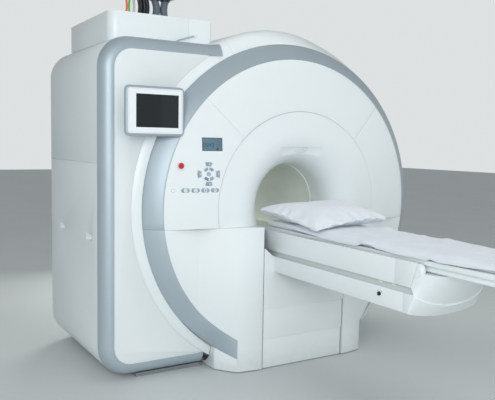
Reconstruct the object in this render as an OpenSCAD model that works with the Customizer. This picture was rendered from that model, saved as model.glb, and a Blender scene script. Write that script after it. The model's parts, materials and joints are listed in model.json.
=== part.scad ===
// Whole-body MRI scanner: a short closed magnet with its covers, the service cabinet at its left and the patient
// table in front. Seen from the front, X is to the right, Y runs into the bore and Z is up. The origin is on the
// floor, under the bore's axis, in the plane of the silver ring's inner edge.

/* [Bore] */
// Height of the bore's axis above the floor
axis_h = 1090; // [1080:1:1120]
// Inner radius of the patient tube
bore_r = 292; // [288:1:300]
// Inner radius of the funnel's neck, round the patient tube
throat_r = 300; // [300:1:312]
// Radius of the rounding between the front cover and the neck
mouth_r = 200; // [150:1:220]
// Radius of the circular seam between the funnel cover and the front cover
seam_r = 658; // [560:1:760]
// Depth of the gantry from the ring's plane to the rear cover
gantry_l = 1400; // [1390:1:1600]

/* [Covers] */
// Spherical radius of the domed front cover
dome_r = 5400; // [4200:10:7000]
// Inner radius of the silver ring
ring_r = 1015; // [1005:1:1030]
// Radial width of the silver ring
ring_w = 110; // [80:1:120]
// How far the ring's outer edge lies behind its inner edge
ring_drop = 85; // [60:1:95]
// Radius of the round shoulder between the ring and the outer shell
shoulder_r = 114; // [100:1:120]
// Thickness of the covers
wall = 8; // [5:0.5:10]
// Thickness of the funnel cover's rounded part
funnel_wall = 20; // [16:1:30]
// Gap between neighbouring covers
seam = 0.9; // [0.4:0.1:0.95]
// Height of the ledge on top of the lower covers
ledge_h = 971; // [965:1:975]
// Gap between the lower covers and the floor
floor_gap = 6; // [3:1:12]
// Angle of the shell's right seam above the horizontal
right_seam_a = 45; // [35:1:60]
// Angle of the shell's left seam, beside the top box
left_seam_a = 115; // [112:1:118]

/* [Lower covers] */
// Half width at which the lower cover starts to come forward
facet_x = 760; // [650:5:850]
// Half width of the pedestal's corner
corner_x = 525; // [490:1:560]
// How far the corner stands in front of the ring's plane
corner_out = 108; // [80:1:140]
// Half width of the slot for the table
slot_x = 346; // [344:0.5:352]
// How far the pedestal's front stands in front of the ring's plane
front_out = 131; // [115:1:150]
// Half width of the skirts at the floor
skirt_x = 627; // [600:1:645]
// Depth of the skirt's slanted front, behind the ring's plane
skirt_y = 25; // [0:1:50]

/* [Cabinet] */
// Distance of the cabinet's side from the bore's axis
cab_x = 1380; // [1370:1:1450]
// Plane of the cabinet's front, behind the ring's plane
cab_y = 105; // [104:0.5:108]
// Underside of the cabinet above the floor
cab_low = 25; // [15:1:30]
// Top of the cabinet above the floor
cab_top = 2175; // [2165:1:2185]
// Plane of the cabinet's back
cab_back = 1250; // [1100:5:1300]
// Radius of the cabinet's rounded corners
cab_corner = 200; // [160:1:230]
// Radius of the silver edge trim
trim_r = 82; // [60:1:90]
// Thickness of the cabinet's sheets
sheet_t = 6; // [4:0.5:8]
// End of the trim's top stretch, left of the bore's axis
trim_top_x = 565; // [560:1:590]
// End of the trim's bottom stretch, left of the bore's axis
trim_low_x = 672; // [660:1:690]
// Height of the seam between the two side covers
side_seam_h = 1385; // [1300:1:1450]
// Length of a grip in the side cover
grip_l = 112; // [90:1:130]
// Height of a grip
grip_h = 50; // [40:1:60]
// Depth of a grip
grip_d = 34; // [25:1:40]
// Distance between the two grips
grip_pitch = 607; // [500:1:650]

/* [Top box] */
// Left face of the top box, from the bore's axis
box_x = 1258; // [1240:1:1270]
// Right face of the top box, from the bore's axis
box_right = 527; // [500:1:545]
// Front face of the top box
box_y = 300; // [280:1:340]
// Back face of the top box
box_back = 1130; // [1000:5:1140]
// Top of the top box above the floor
box_top = 2350; // [2320:1:2400]
// Radius of the top box's front left corner
box_corner = 70; // [50:1:90]
// Place of the top box's seam, from the bore's axis
box_seam = 705; // [680:1:730]

/* [Cables] */
// Height of the ceiling plate's underside
ceiling_h = 2500; // [2480:1:2700]
// Distance of the row of cables behind the ring's plane
cable_y = 500; // [460:1:540]
// Diameter of a coloured cable
cable_d = 14; // [10:0.5:18]
// Diameter of the black bundle
bundle_d = 84; // [70:1:96]
// Diameter of a hose
hose_d = 52; // [44:1:58]
// Length of the cable sleeves
sleeve_l = 18; // [12:1:30]

/* [Screens and keys] */
// Width of the monitor
monitor_w = 391; // [360:1:400]
// Height of the monitor
monitor_h = 304; // [280:1:320]
// How far the monitor's face stands in front of the ring's plane
monitor_out = 24; // [20:1:40]
// Thickness of the monitor where it lies over the ring
monitor_t = 20; // [16:1:20]
// Width of the monitor's screen
screen_w = 280; // [260:1:300]
// Height of the monitor's screen
screen_h = 201; // [190:1:220]
// Width of the status display
lcd_w = 138; // [120:1:145]
// Height of the status display
lcd_h = 85; // [75:1:95]
// How far a key stands proud of the panel
key_proud = 2; // [1.5:0.1:3]
// Travel of a key
key_travel = 1.5; // [1:0.1:2]
// Gap round a key
key_gap = 0.4; // [0.3:0.05:0.6]
// Radius of the stop button's head
stop_r = 19; // [17:0.5:22]
// Travel of the stop button
stop_travel = 5; // [4:0.5:6]
// Radius of the centre key
centre_r = 14; // [12:0.5:16]
// Outer radius of the ring key
jog_r = 45; // [42:0.5:46]
// Outer radius of the arrow keys
arrow_r = 76; // [70:0.5:80]
// Length of an oval key
oval_l = 55; // [50:0.5:58]
// Height of an oval key
oval_h = 27; // [24:0.5:30]

/* [Magnet] */
// Outer radius of the vacuum vessel
vessel_r = 940; // [920:1:960]
// Inner radius of the vacuum vessel
vessel_bore = 450; // [445:1:470]
// Front of the vacuum vessel
vessel_y = 205; // [202:1:230]
// Length of the vacuum vessel
vessel_l = 1140; // [1100:5:1160]
// Radial thickness of the helium vessel
helium_t = 380; // [340:1:400]
// Radial thickness of the gradient coil
gradient_t = 100; // [80:1:105]
// Length of the gradient coil
gradient_l = 1080; // [1000:5:1100]
// Number of the body coil's rungs
rungs = 16; // [12:2:24]

/* [Table] */
// Half width of the table's fascias
fascia_x = 262; // [258:0.5:275]
// Top of the fascias
fascia_top = 938.5; // [930:0.5:945]
// Upper edge of the groove
groove_top = 805.5; // [795:0.5:815]
// Lower edge of the groove
groove_low = 770.5; // [762:0.5:778]
// Underside of the table
table_low = 666; // [655:1:675]
// Length of the table in front of the ring's plane, at its underside
table_l = 1358; // [1330:1:1420]
// How much further the fascia reaches at its top
fascia_slant = 60; // [45:1:70]
// Reach of the rounded end cap at its top
cap_l = 190; // [160:1:210]
// Sag of the end cap's bottom edge in the middle
cap_sag = 36; // [20:1:45]
// Depth of the groove
groove_d = 12; // [8:1:14]
// Travel of the table's lift
lift = 360; // [300:5:375]
// Top of the lower part of the apron
apron_low_h = 210; // [200:1:220]
// Top of the middle part of the apron
apron_mid_h = 413; // [400:1:420]
// Thickness of the apron's parts
apron_t = 5.5; // [4:0.5:5.5]
// Radius of the lift rod
rod_r = 30; // [25:0.5:34]
// Radius of the release knob
knob_r = 11; // [9:0.5:14]

/* [Tabletop] */
// Underside of the tabletop
top_low = 890; // [886:0.5:892]
// Thickness of the tabletop
top_t = 64; // [58:1:66]
// Half width of the tabletop at its upper edge
top_x = 222; // [212:1:236]
// Half width of the tabletop's lower lip
lip_x = 205; // [192:1:209]
// Head end of the tabletop, behind the ring's plane
head_y = 60; // [40:1:64]
// Length of the tabletop
top_l = 2250; // [2100:10:2400]
// Thickness of the mattress
mattress_t = 40; // [30:1:45]
// Gap between parts that slide on each other
slide_gap = 0.3; // [0.2:0.05:0.4]
// Travel of the tabletop into the bore
travel = 1600; // [1400:10:1650]
// Start of the sheet, in front of the ring's plane
sheet_start = 300; // [250:5:400]
// Thickness of the sheet
cloth_t = 2.5; // [2:0.5:4]
// Width of the pillow
pillow_w = 566; // [520:2:570]
// Depth of the pillow
pillow_l = 600; // [560:2:620]
// Thickness of the pillow
pillow_t = 150; // [130:2:160]

/* [Hidden] */
fine = 240;
round_fn = 64;
big = 4000;

// Front plane and other places that follow from the sizes
ring_out = ring_r + ring_w;
shell_r = ring_out + shoulder_r;
shoulder_y = ring_drop + shoulder_r;
apex_y = sqrt(dome_r * dome_r - ring_r * ring_r) - dome_r;
lip_r = (throat_r + mouth_r) / (1 - mouth_r / dome_r);
lip_a = asin(lip_r / dome_r);
throat_y = dome_y(lip_r) + mouth_r * cos(lip_a);
neck_y = throat_y + 112;
tube_y = throat_y + 104;
tube_end = gantry_l - 70;
strip_r = shell_r - 50;

// Height above the ring's plane of the domed front at radius r, and of its back
function dome_y(r) = apex_y + dome_r - sqrt(dome_r * dome_r - r * r);
function dome_back(r, t) = apex_y + dome_r - sqrt((dome_r - t) * (dome_r - t) - r * r);
function arc(cx, cy, r, a0, a1, n) = [for (i = [0:n]) let (a = a0 + (a1 - a0) * i / n) [cx + r * cos(a), cy + r * sin(a)]];
function steps(a, b, n) = [for (i = [0:n]) a + (b - a) * i / n];
function mix(a, b, t) = a + (b - a) * t;
function ease(t) = t * t * (3 - 2 * t);
function limit01(t) = min(1, max(0, t));

// Plan of the lower cover: its distance behind the ring's plane at half width x
function facet_y(x) = -corner_out * limit01((facet_x - x) / (facet_x - corner_x));

// Turns a profile of [radius, y] points about the bore's axis, between two angles above the right-hand horizontal
module round_bore(a0 = 0, a1 = 360) {
    translate([0, 0, axis_h]) rotate([-90, 0, 0]) rotate([0, 0, -a1])
        rotate_extrude(angle = a1 - a0, $fn = fine) children();
}

// A bar along Y with the outline of its children in X and Z
module along_y(y0, y1) {
    translate([0, y1, 0]) rotate([90, 0, 0]) linear_extrude(height = y1 - y0) children();
}

// A bar along X with the outline of its children in Y and Z
module along_x(x0, x1) {
    translate([x0, 0, 0]) rotate([90, 0, 90]) linear_extrude(height = x1 - x0) children();
}

// A cylinder about the bore's axis
module bore_rod(r, y0, y1) {
    translate([0, y0, axis_h]) rotate([-90, 0, 0]) cylinder(h = y1 - y0, r = r, $fn = fine);
}

module box(x0, x1, y0, y1, z0, z1) {
    translate([x0, y0, z0]) cube([x1 - x0, y1 - y0, z1 - z0]);
}

module both_sides() {
    children();
    mirror([1, 0, 0]) children();
}

// A rectangle between two corners with round corners
module round_rect(x0, y0, x1, y1, r) {
    translate([x0 + r, y0]) square([x1 - x0 - 2 * r, y1 - y0]);
    translate([x0, y0 + r]) square([x1 - x0, y1 - y0 - 2 * r]);
    for (x = [x0 + r, x1 - r], y = [y0 + r, y1 - r]) translate([x, y]) circle(r = r, $fn = fine);
}

// Closed loft through rings of points, each ring in the same order; bent ends are the same on the left and the right,
// with an odd number of points, and are filled from side to side
function bent_end(n) = concat(
    [for (j = [0:(n - 5) / 2]) each [[j, j + 1, n - 2 - j], [j, n - 2 - j, n - 1 - j]]],
    [[(n - 3) / 2, (n - 1) / 2, (n + 1) / 2]]
);

module loft(rings, bent = false) {
    n = len(rings[0]);
    m = len(rings);
    points = [for (ring = rings) each ring];
    sides = [for (i = [0:m - 2], j = [0:n - 1])
        [i * n + j, i * n + (j + 1) % n, (i + 1) * n + (j + 1) % n, (i + 1) * n + j]];
    triangles = [for (q = sides) each [[q[0], q[2], q[1]], [q[0], q[3], q[2]]]];
    first = bent ? bent_end(n) : [[for (j = [0:n - 1]) j]];
    last = [for (f = first) [for (k = [len(f) - 1:-1:0]) (m - 1) * n + f[k]]];
    polyhedron(points, concat(triangles, first, last), convexity = 6);
}

// Outer faces of the gantry
shoulder_points = arc(ring_out, shoulder_y, shoulder_r, -90, 0, 16);
rear_round = 40;

module shell_profile() {
    polygon(concat(
        [[ring_out + seam, ring_drop]],
        [for (p = shoulder_points) if (p[0] > ring_out + 4) p],
        arc(shell_r - rear_round, gantry_l - rear_round, rear_round, 0, 90, 8),
        [[shell_r - rear_round, gantry_l - wall]],
        arc(shell_r - rear_round, gantry_l - rear_round, rear_round - wall, 90, 0, 8),
        [for (p = arc(ring_out, shoulder_y, shoulder_r - wall, 0, -90, 16)) if (p[0] > ring_out + 4) p],
        [[ring_out + seam, ring_drop + wall]]
    ));
}

// The gantry's full outer form, wider by the gap g, which cabinet and skirts keep clear of
module gantry_body(g) {
    round_bore() polygon(concat(
        [[0, ring_drop - g]],
        [for (p = arc(ring_out, shoulder_y, shoulder_r + g, -90, 0, 16)) p],
        [[shell_r + g, gantry_l + big], [0, gantry_l + big]]
    ));
}

// Covers of the front

module cover_profile() {
    a = seam_r + seam / 2;
    b = ring_r - seam / 2;
    polygon(concat(
        [for (r = steps(a, b, 8)) [r, dome_y(r)]],
        [for (r = steps(b, a, 8)) [r, dome_back(r, wall)]]
    ));
}

module above_ledge() {
    intersection() {
        children();
        box(-big, big, -big, big, ledge_h + seam, big);
    }
}

// Half the angle that a seam takes at the funnel's edge
seam_a = seam / seam_r * 90 / PI;

module front_cover_top() color("whitesmoke")
    round_bore(45 + seam_a, 135 - seam_a) cover_profile();

module front_cover_right() color("whitesmoke")
    above_ledge() round_bore(-30, 45 - seam_a) cover_profile();

module front_cover_left() color("whitesmoke")
    difference() {
        above_ledge() round_bore(135 + seam_a, 210) cover_profile();
        along_y(-big / 10, big / 10) key_holes();
    }

module funnel_profile() {
    a = seam_r - seam / 2;
    back_r = mouth_r - funnel_wall;
    cx = lip_r - mouth_r * sin(lip_a);
    polygon(concat(
        [for (r = steps(a, lip_r + 8, 4)) [r, dome_y(r)]],
        arc(cx, throat_y, mouth_r, -90 + lip_a, -180, 16),
        [[throat_r, neck_y], [throat_r + wall, neck_y], [throat_r + wall, throat_y + funnel_wall],
            [throat_r + funnel_wall, throat_y]],
        arc(cx, throat_y, back_r, -180, -90 + lip_a, 16),
        [for (r = steps(lip_r + 8, a, 4)) [r, dome_back(r, funnel_wall)]]
    ));
}

// Brow over the mouth: a hollow under a level crease, deepest in the middle
brow_h = 415;
brow_depth = 12;
brow_half = 180;
brow_tilt = 29;
window_r = 62;
window_t = 9;

// Front surface of the funnel cover at radius r, in its rounded mouth
function mouth_y(r) = throat_y - sqrt(mouth_r * mouth_r - pow(lip_r - mouth_r * sin(lip_a) - r, 2));

module brow_place() {
    translate([0, mouth_y(brow_h), axis_h + brow_h]) rotate([brow_tilt, 0, 0]) children();
}

module brow_cut() {
    sag = brow_depth + mouth_y(brow_h) - mouth_y(sqrt(brow_h * brow_h + brow_half * brow_half));
    r = (brow_half * brow_half + sag * sag) / (2 * sag);
    intersection() {
        brow_place() translate([0, brow_depth - r, -big / 20]) cylinder(h = big / 10, r = r, $fn = fine);
        box(-big, big, -big, big, -big, axis_h + brow_h);
    }
}

module funnel_cover() color("whitesmoke")
    difference() {
        round_bore() funnel_profile();
        box(-big, big, -big, throat_y + 3, -big, ledge_h + seam);
        brow_cut();
        window_seat(slide_gap);
    }

// Half-round window for the laser light in the brow
module window_seat(g) {
    brow_place() translate([0, brow_depth - window_t / 2 - g, 0]) rotate([-90, 0, 0]) intersection() {
        cylinder(h = window_t + 2 * g, r = window_r + g, $fn = fine);
        translate([-big / 2, 6 - g, -1]) cube([big, big, 30]);
    }
}

module laser_window() color("aliceblue") window_seat(0);

// Silver ring

ring_bulge = 7;
ring_t = 8;

function ring_front(t) = [ring_r + seam / 2 + t * (ring_w - seam), ring_drop * t - ring_bulge * 4 * t * (1 - t)];

module front_ring() color("lightsteelblue")
    above_ledge() round_bore() polygon(concat(
        [for (t = steps(0, 1, 8)) ring_front(t)],
        [for (t = steps(1, 0, 8)) ring_front(t) + [0, ring_t]]
    ));

// End of the ring, which leaves its bevel and comes forward over the lower cover to the pedestal's corner
function drop_z(r, x) = axis_h - sqrt(r * r - x * x);
function start_x(r) = sqrt(r * r - pow(axis_h - ledge_h, 2));
function skirt_front(x) = mix(-corner_out, skirt_y, limit01((x - corner_x) / (skirt_x - corner_x)));
function end_outer_y(x) = x < skirt_x
    ? skirt_front(x)
    : mix(skirt_y, ring_drop, sin(90 * limit01((x - skirt_x) / (facet_x + 200 - skirt_x))));

function end_section(t) = let (
    x0 = mix(start_x(end_r), corner_x + seam, t),
    x1 = mix(start_x(ring_out - seam / 2), corner_x + seam, t),
    y0 = facet_y(x0),
    y1 = end_outer_y(x1),
    front = [for (s = [0, 0.33, 0.67, 1]) let (
        x = mix(x0, x1, s),
        r = mix(ring_r + seam / 2, ring_out - seam / 2, s)
    ) [x, mix(y0, y1, s) - ring_bulge * 4 * s * (1 - s) * (1 - t), drop_z(r, x)]]
) concat(front, [for (i = [3:-1:0]) front[i] + [0, ring_t, 0]]);

// Share of the way along the ring's end after a share k of its turn about the bore's axis
end_r = ring_r + seam / 2;
function end_share(k) = let (
    start = start_x(end_r),
    stop = corner_x + seam,
    x = end_r * sin(mix(asin(start / end_r), asin(stop / end_r), k))
) (start - x) / (start - stop);

module ring_ends() color("lightsteelblue")
    both_sides() loft([for (k = steps(1, 0, 24)) end_section(end_share(k))]);

// Lower covers: the facets beside the pedestal and the pedestal's own walls, one moulding a side

module lower_plan(g) {
    back = 60;
    polygon([
        [slot_x + g, -front_out + g], [corner_x, -corner_out + g], [facet_x, g], [start_x(ring_r), g],
        [start_x(ring_r), back], [slot_x + g, back]
    ]);
}

module lower_cover() {
    difference() {
        linear_extrude(height = ledge_h) lower_plan(0);
        translate([0, 0, -1]) linear_extrude(height = ledge_h - wall + 1) difference() {
            polygon([
                [slot_x + wall, -front_out + wall], [corner_x, -corner_out + wall], [facet_x, wall],
                [big, wall], [big, big], [slot_x + wall, big]
            ]);
        }
        translate([0, 0, -1]) cube([big, 2 * big, floor_gap + 1]);
        translate([0, -big, -1]) cube([big, 2 * big, floor_gap + 1]);
        difference() {
            box(corner_x, big, -big, big, -big, big);
            bore_rod(ring_r - seam / 2, -big, big);
        }
    }
}

module lower_covers() color("whitesmoke") both_sides() lower_cover();

// Skirts: the wall that closes the gap between the ring and the floor

skirt_end = gantry_l - 60;

module skirts() color("whitesmoke") both_sides()
    difference() {
        translate([0, 0, floor_gap]) linear_extrude(height = 200) polygon([
            [corner_x + seam, -corner_out + seam], [skirt_x, skirt_y], [skirt_x, skirt_end],
            [skirt_x - wall, skirt_end], [skirt_x - wall, skirt_y + wall / 2],
            [corner_x + seam, -corner_out + wall * 1.7]
        ]);
        bore_rod(ring_out + seam / 2, -big, big);
        gantry_body(seam / 2);
    }

// Outer shell

module shell_arc(a0, a1) round_bore(a0, a1) shell_profile();

shell_seam_a = seam / shell_r * 90 / PI;

module shell_top() color("whitesmoke") shell_arc(right_seam_a + shell_seam_a, left_seam_a - shell_seam_a);

module shell_right() difference() {
    shell_arc(-65, right_seam_a - shell_seam_a);
    box(-big, skirt_x + seam / 2, -big, big, -big, axis_h - throat_r);
}

// The left side is cut back where the cabinet's front panel lies against it
module shell_left() difference() {
    shell_arc(left_seam_a + shell_seam_a, 245);
    box(-skirt_x - seam / 2, big, -big, big, -big, axis_h - throat_r);
    round_bore(119.5, 246) polygon([
        [strip_r, -1], [shell_r + 20, -1], [shell_r + 20, cab_y + trim_r], [strip_r, cab_y + trim_r]
    ]);
}

module shell_sides() color("whitesmoke") {
    shell_right();
    shell_left();
}

// Rear cover with its own rounded mouth

module rear_cover() color("whitesmoke") {
    r = 80;
    cx = throat_r + r;
    cy = gantry_l - r;
    difference() {
        round_bore() polygon(concat(
            [[shell_r - rear_round - seam, gantry_l - wall], [shell_r - rear_round - seam, gantry_l]],
            arc(cx, cy, r, 90, 180, 12),
            [[throat_r, cy - 20], [throat_r + wall, cy - 20]],
            arc(cx, cy, r - wall, 180, 90, 12)
        ));
        box(-big, big, -big, big, -big, floor_gap);
    }
}

// Magnet and coils

vessel_wall = 12;
end_t = 20;
turret_r = 110;
turret_y = vessel_y + vessel_l / 2;
turret_top = shell_r - wall - 60;
helium_gap = 50;
helium_in = vessel_bore + helium_gap;
helium_out = helium_in + helium_t;
strut_r = 18;
mount_r = vessel_bore - slide_gap;
gradient_y = vessel_y + (vessel_l - gradient_l) / 2;
gradient_in = mount_r - 20 - gradient_t;

beam_x0 = 380;
beam_x1 = 480;
base_y = 170;

module base_frame() color("slategray") {
    post_x = 560;
    difference() {
        union() {
            both_sides() box(beam_x0, beam_x1, base_y, skirt_end - 40, 0, 90);
            for (y = [vessel_y + 150, vessel_y + vessel_l - 190]) {
                box(-post_x, post_x, y, y + 40, 0, axis_h - vessel_bore);
                box(wall + seam - skirt_x, skirt_x - wall - seam, y - 30, y + 70, 0, 60);
            }
        }
        bore_rod(vessel_r + slide_gap, -big, big);
    }
}

module vacuum_vessel() color("silver") {
    ye = vessel_y + vessel_l;
    difference() {
        union() {
            bore_rod(vessel_r, vessel_y, ye);
            translate([0, turret_y, axis_h]) cylinder(h = turret_top, r = turret_r + vessel_wall, $fn = fine);
            translate([0, turret_y, axis_h + turret_top]) cylinder(h = 16, r = turret_r + 40, $fn = fine);
        }
        bore_rod(vessel_bore, -big, big);
        difference() {
            bore_rod(vessel_r - vessel_wall, vessel_y + end_t, ye - end_t);
            bore_rod(vessel_bore + vessel_wall, -big, big);
        }
        translate([0, turret_y, axis_h + vessel_bore + 60]) cylinder(h = big, r = turret_r, $fn = fine);
    }
    // Cold head in the turret, with the vent port beside it
    translate([0, turret_y, axis_h + turret_top]) difference() {
        union() {
            translate([0, 0, 15]) cylinder(h = 15, r = turret_r + 40, $fn = fine);
            translate([0, 0, -160]) cylinder(h = 190, r = 45, $fn = fine);
        }
        translate([turret_r - 35, 0, 0]) cylinder(h = 60, r = 22, $fn = fine);
    }
}

module helium_vessel() color("gainsboro") difference() {
    union() {
        bore_rod(helium_out, vessel_y + end_t + 45, vessel_y + vessel_l - end_t - 45);
        intersection() {
            for (y = [vessel_y + end_t + 90, vessel_y + vessel_l - end_t - 90], a = [45:90:315])
                translate([0, y, axis_h]) rotate([0, a, 0]) cylinder(h = vessel_r, r = strut_r, $fn = round_fn);
            bore_rod(vessel_r - vessel_wall - slide_gap, -big, big);
        }
    }
    bore_rod(helium_in, -big, big);
}

module gradient_coil() color("burlywood") {
    difference() {
        bore_rod(gradient_in + gradient_t, gradient_y, gradient_y + gradient_l);
        bore_rod(gradient_in, -big, big);
    }
    for (y = [gradient_y + 60, gradient_y + gradient_l - 140], a = [22.5:45:337.5])
        round_bore(a - 6, a + 6) translate([gradient_in + gradient_t - 1, y])
            square([mount_r - gradient_in - gradient_t + 1, 80]);
}

tube_t = throat_r - slide_gap - bore_r;

module patient_tube() color("white") {
    round_bore() polygon([
        [bore_r, tube_y + 3], [bore_r + 2, tube_y], [throat_r - slide_gap, tube_y], [throat_r - slide_gap, neck_y + 12],
        [gradient_in - slide_gap, neck_y + 12], [gradient_in - slide_gap, neck_y + 24], [throat_r - slide_gap, neck_y + 24],
        [throat_r - slide_gap, tube_end - 66], [gradient_in - slide_gap, tube_end - 66],
        [gradient_in - slide_gap, tube_end - 54], [throat_r - slide_gap, tube_end - 54],
        [throat_r - slide_gap, tube_end], [bore_r, tube_end]
    ]);
    // Body coil on the tube: two end rings and the rungs between them
    for (y = [neck_y + 110, tube_end - 180]) round_bore() translate([throat_r - 1, y]) square([4, 40]);
    for (a = [0:360 / rungs:359]) round_bore(a - 3, a + 3)
        translate([throat_r - 1, neck_y + 140]) square([3, tube_end - 170 - neck_y - 140]);
}

bridge_top = top_low - slide_gap;

module bore_bridge() color("gainsboro") intersection() {
    bore_rod(bore_r - slide_gap, tube_y, tube_end);
    along_y(throat_y + 6, tube_end) union() {
        translate([-bore_r, bridge_top - 16]) square([2 * bore_r, 16]);
        for (x = [-130, 110]) translate([x, axis_h - bore_r]) square([20, bridge_top - axis_h + bore_r]);
        translate([-60, bridge_top - 40]) square([120, 30]);
    }
}

// Cabinet at the left

module cab_outline(inset) {
    r = cab_corner - inset;
    round_rect(-cab_x + inset, cab_low + inset, cab_x, cab_top - inset, r);
}

module cab_hollow(inset, t) difference() {
    cab_outline(inset);
    cab_outline(inset + t);
}

// Points of the trim's quarter-round section, as [distance in from the outline, y]
trim_points = concat(
    arc(trim_r, cab_y + trim_r, trim_r, 180, 270, 16),
    arc(trim_r, cab_y + trim_r, trim_r - sheet_t, 270, 180, 16)
);

module trim_profile() polygon(trim_points);

module trim_corner(z, a) {
    translate([cab_corner - cab_x, 0, z]) rotate([-90, 0, 0]) rotate([0, 0, a])
        rotate_extrude(angle = 90, $fn = fine) translate([cab_corner, 0]) mirror([1, 0]) trim_profile();
}

module cabinet_trim() color("lightsteelblue") {
    z0 = cab_low + cab_corner;
    z1 = cab_top - cab_corner;
    x0 = cab_corner - cab_x;
    translate([-cab_x, 0, z0]) linear_extrude(height = z1 - z0) trim_profile();
    along_x(x0, trim_blend) translate([0, cab_top]) mirror([0, 1]) swap_profile();
    loft([for (t = steps(0, 1, 7)) trim_end(mix(trim_blend + slide_gap, -trim_top_x, t))]);
    along_x(x0, -trim_low_x) translate([0, cab_low]) swap_profile();
    trim_corner(z1, 180);
    trim_corner(z0, 90);
}

// The end of the trim's top stretch, which lies over the shell's shoulder
trim_blend = -trim_top_x - 125;
trim_proud = 5;

function shoulder_at(x, z) = let (
    r = norm([x, z - axis_h]) - ring_out
) shoulder_y - sqrt(max(1, shoulder_r * shoulder_r - r * r));

function trim_end(x) = [for (k = [0:33]) let (
    back = trim_points[k < 17 ? 33 - k : k],
    share = limit01((x - trim_blend) / 48),
    lead = share * min(0, shoulder_at(x, cab_top - back[0]) - trim_proud - back[1])
) [x, trim_points[k][1] + lead, cab_top - trim_points[k][0]]];

// The trim's profile with its axes changed over, for the stretches along X
module swap_profile() polygon([for (p = trim_points) [p[1], p[0]]]);

module cabinet_front() color("whitesmoke") along_y(cab_y, cab_y + sheet_t) difference() {
    cab_outline(trim_r + seam / 2);
    translate([0, axis_h]) circle(r = strip_r + seam / 2, $fn = fine);
    translate([-trim_low_x, 0]) square([big, axis_h]);
    translate([-trim_top_x, 0]) square([big, big]);
}

module cabinet_side_upper() color("gainsboro") difference() {
    along_y(cab_y + trim_r + seam, cab_back) difference() {
        cab_hollow(0, sheet_t);
        translate([-big, -big]) square([2 * big, big + side_seam_h + seam / 2]);
        translate([-trim_top_x, 0]) square([big, big]);
    }
    gantry_body(seam);
}

grip_y = 293;
grip_z = 909;
grip_wall = 4;

module grip(g) {
    box(-cab_x - 1, -cab_x + grip_d + g, grip_y - g, grip_y + grip_l + g, grip_z - grip_h / 2 - g, grip_z + grip_h / 2 + g);
}

module cabinet_side_lower() color("gainsboro") difference() {
    union() {
        along_y(cab_y + trim_r + seam, cab_back) difference() {
            cab_hollow(0, sheet_t);
            translate([-big, side_seam_h - seam / 2]) square([2 * big, big]);
            translate([-trim_low_x, -big]) square([big, 2 * big]);
        }
        for (k = [0, 1]) translate([1.5, k * grip_pitch, 0]) grip(grip_wall);
    }
    for (k = [0, 1]) translate([0, k * grip_pitch, 0]) grip(0);
    gantry_body(seam);
}

module cabinet_back() color("gainsboro") difference() {
    along_y(cab_back - sheet_t, cab_back) difference() {
        cab_outline(sheet_t + seam / 2);
        translate([0, axis_h]) circle(r = shell_r + seam, $fn = fine);
        translate([-trim_low_x, -big]) square([big, big + axis_h]);
        translate([-trim_top_x, -big]) square([big, 2 * big]);
    }
}

hoop_t = 40;

module hoop(y) difference() {
    along_y(y, y + hoop_t) difference() {
        cab_hollow(sheet_t + seam / 2, hoop_t);
        translate([-trim_low_x - 30, -big]) square([big, big + axis_h]);
        translate([-trim_top_x - 90, -big]) square([big, 2 * big]);
    }
    gantry_body(seam);
    for (k = [0, 1]) translate([0, k * grip_pitch, 0]) grip(grip_wall + 2);
}

plinth_h = cab_low - seam / 2;

module cabinet_frame() color("slategray") {
    y0 = 420;
    y1 = cab_back - 130;
    hoop(cab_y + trim_r + 10);
    hoop(y0);
    hoop(y1);
    box(-1134, -trim_low_x + 9, 150, cab_back - 60, 0, plinth_h);
    // Beams between the hoops
    x = sheet_t + seam / 2 - cab_x;
    for (z = [400, 1100, 1700]) box(x, x + hoop_t, cab_y + trim_r + 11, y1 + 1, z, z + hoop_t);
    // Electronics chassis, carried between the hoops
    for (z = [1740, 1850, 1960]) box(x + 20, -1110, y0 + hoop_t - 1, y1 + 1, z, z + 100);
    box(-1250, -1010, y0 + hoop_t - 1, y1 + 1, cab_low + sheet_t + 20, 280);
}

// Top box

module box_outline(inset) {
    r = box_corner - inset;
    r2 = 25 - inset / 2;
    difference() {
        union() {
            translate([-box_x + inset, box_y + box_corner]) square([box_x - box_right - 2 * inset,
                box_back - box_y - box_corner - inset]);
            translate([-box_x + box_corner, box_y + inset]) square([box_x - box_right - box_corner - r2 - inset,
                box_corner]);
            translate([-box_right - inset - 2 * r2, box_y + inset + r2]) square([2 * r2, box_corner]);
            translate([-box_x + box_corner, box_y + box_corner]) circle(r = r, $fn = fine);
            translate([-box_right - inset - r2, box_y + inset + r2]) circle(r = r2, $fn = fine);
        }
    }
}

module box_shell() difference() {
    low = cab_top - cab_corner;
    translate([0, 0, low]) linear_extrude(height = box_top - low) box_outline(0);
    translate([0, 0, low - 1]) linear_extrude(height = box_top - sheet_t - low + 1) box_outline(sheet_t);
    along_y(-big, big) cab_outline(-seam);
    gantry_body(seam);
    for (c = cables) translate([c[0], cable_y, cab_top]) cylinder(h = big, r = c[1] / 2 + sleeve_t, $fn = round_fn);
}

peg_r = 20;

module top_box() color("whitesmoke") {
    difference() {
        box_shell();
        box(-box_seam - seam, big, -big, big, -big, big);
    }
    difference() {
        box_shell();
        box(-big, -box_seam, -big, big, -big, big);
    }
    translate([-box_x + 35, 820, box_top - 1]) cylinder(h = 15, r = peg_r, $fn = round_fn);
}

// Cables: place along X and diameter of each
cables = [
    [-1075, cable_d], [-1048, cable_d], [-1022, cable_d + 2], [-956, bundle_d], [-868, hose_d], [-792, hose_d]
];
sleeve_t = 6;
fitting_x0 = -1110;
fitting_x1 = -735;
cable_low = box_top + sleeve_l;
cable_high = ceiling_h - sleeve_l;

// Sway of a cable between its two sleeves, largest halfway
sway = [6, -5, 4, 8, 14, -10];

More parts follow.
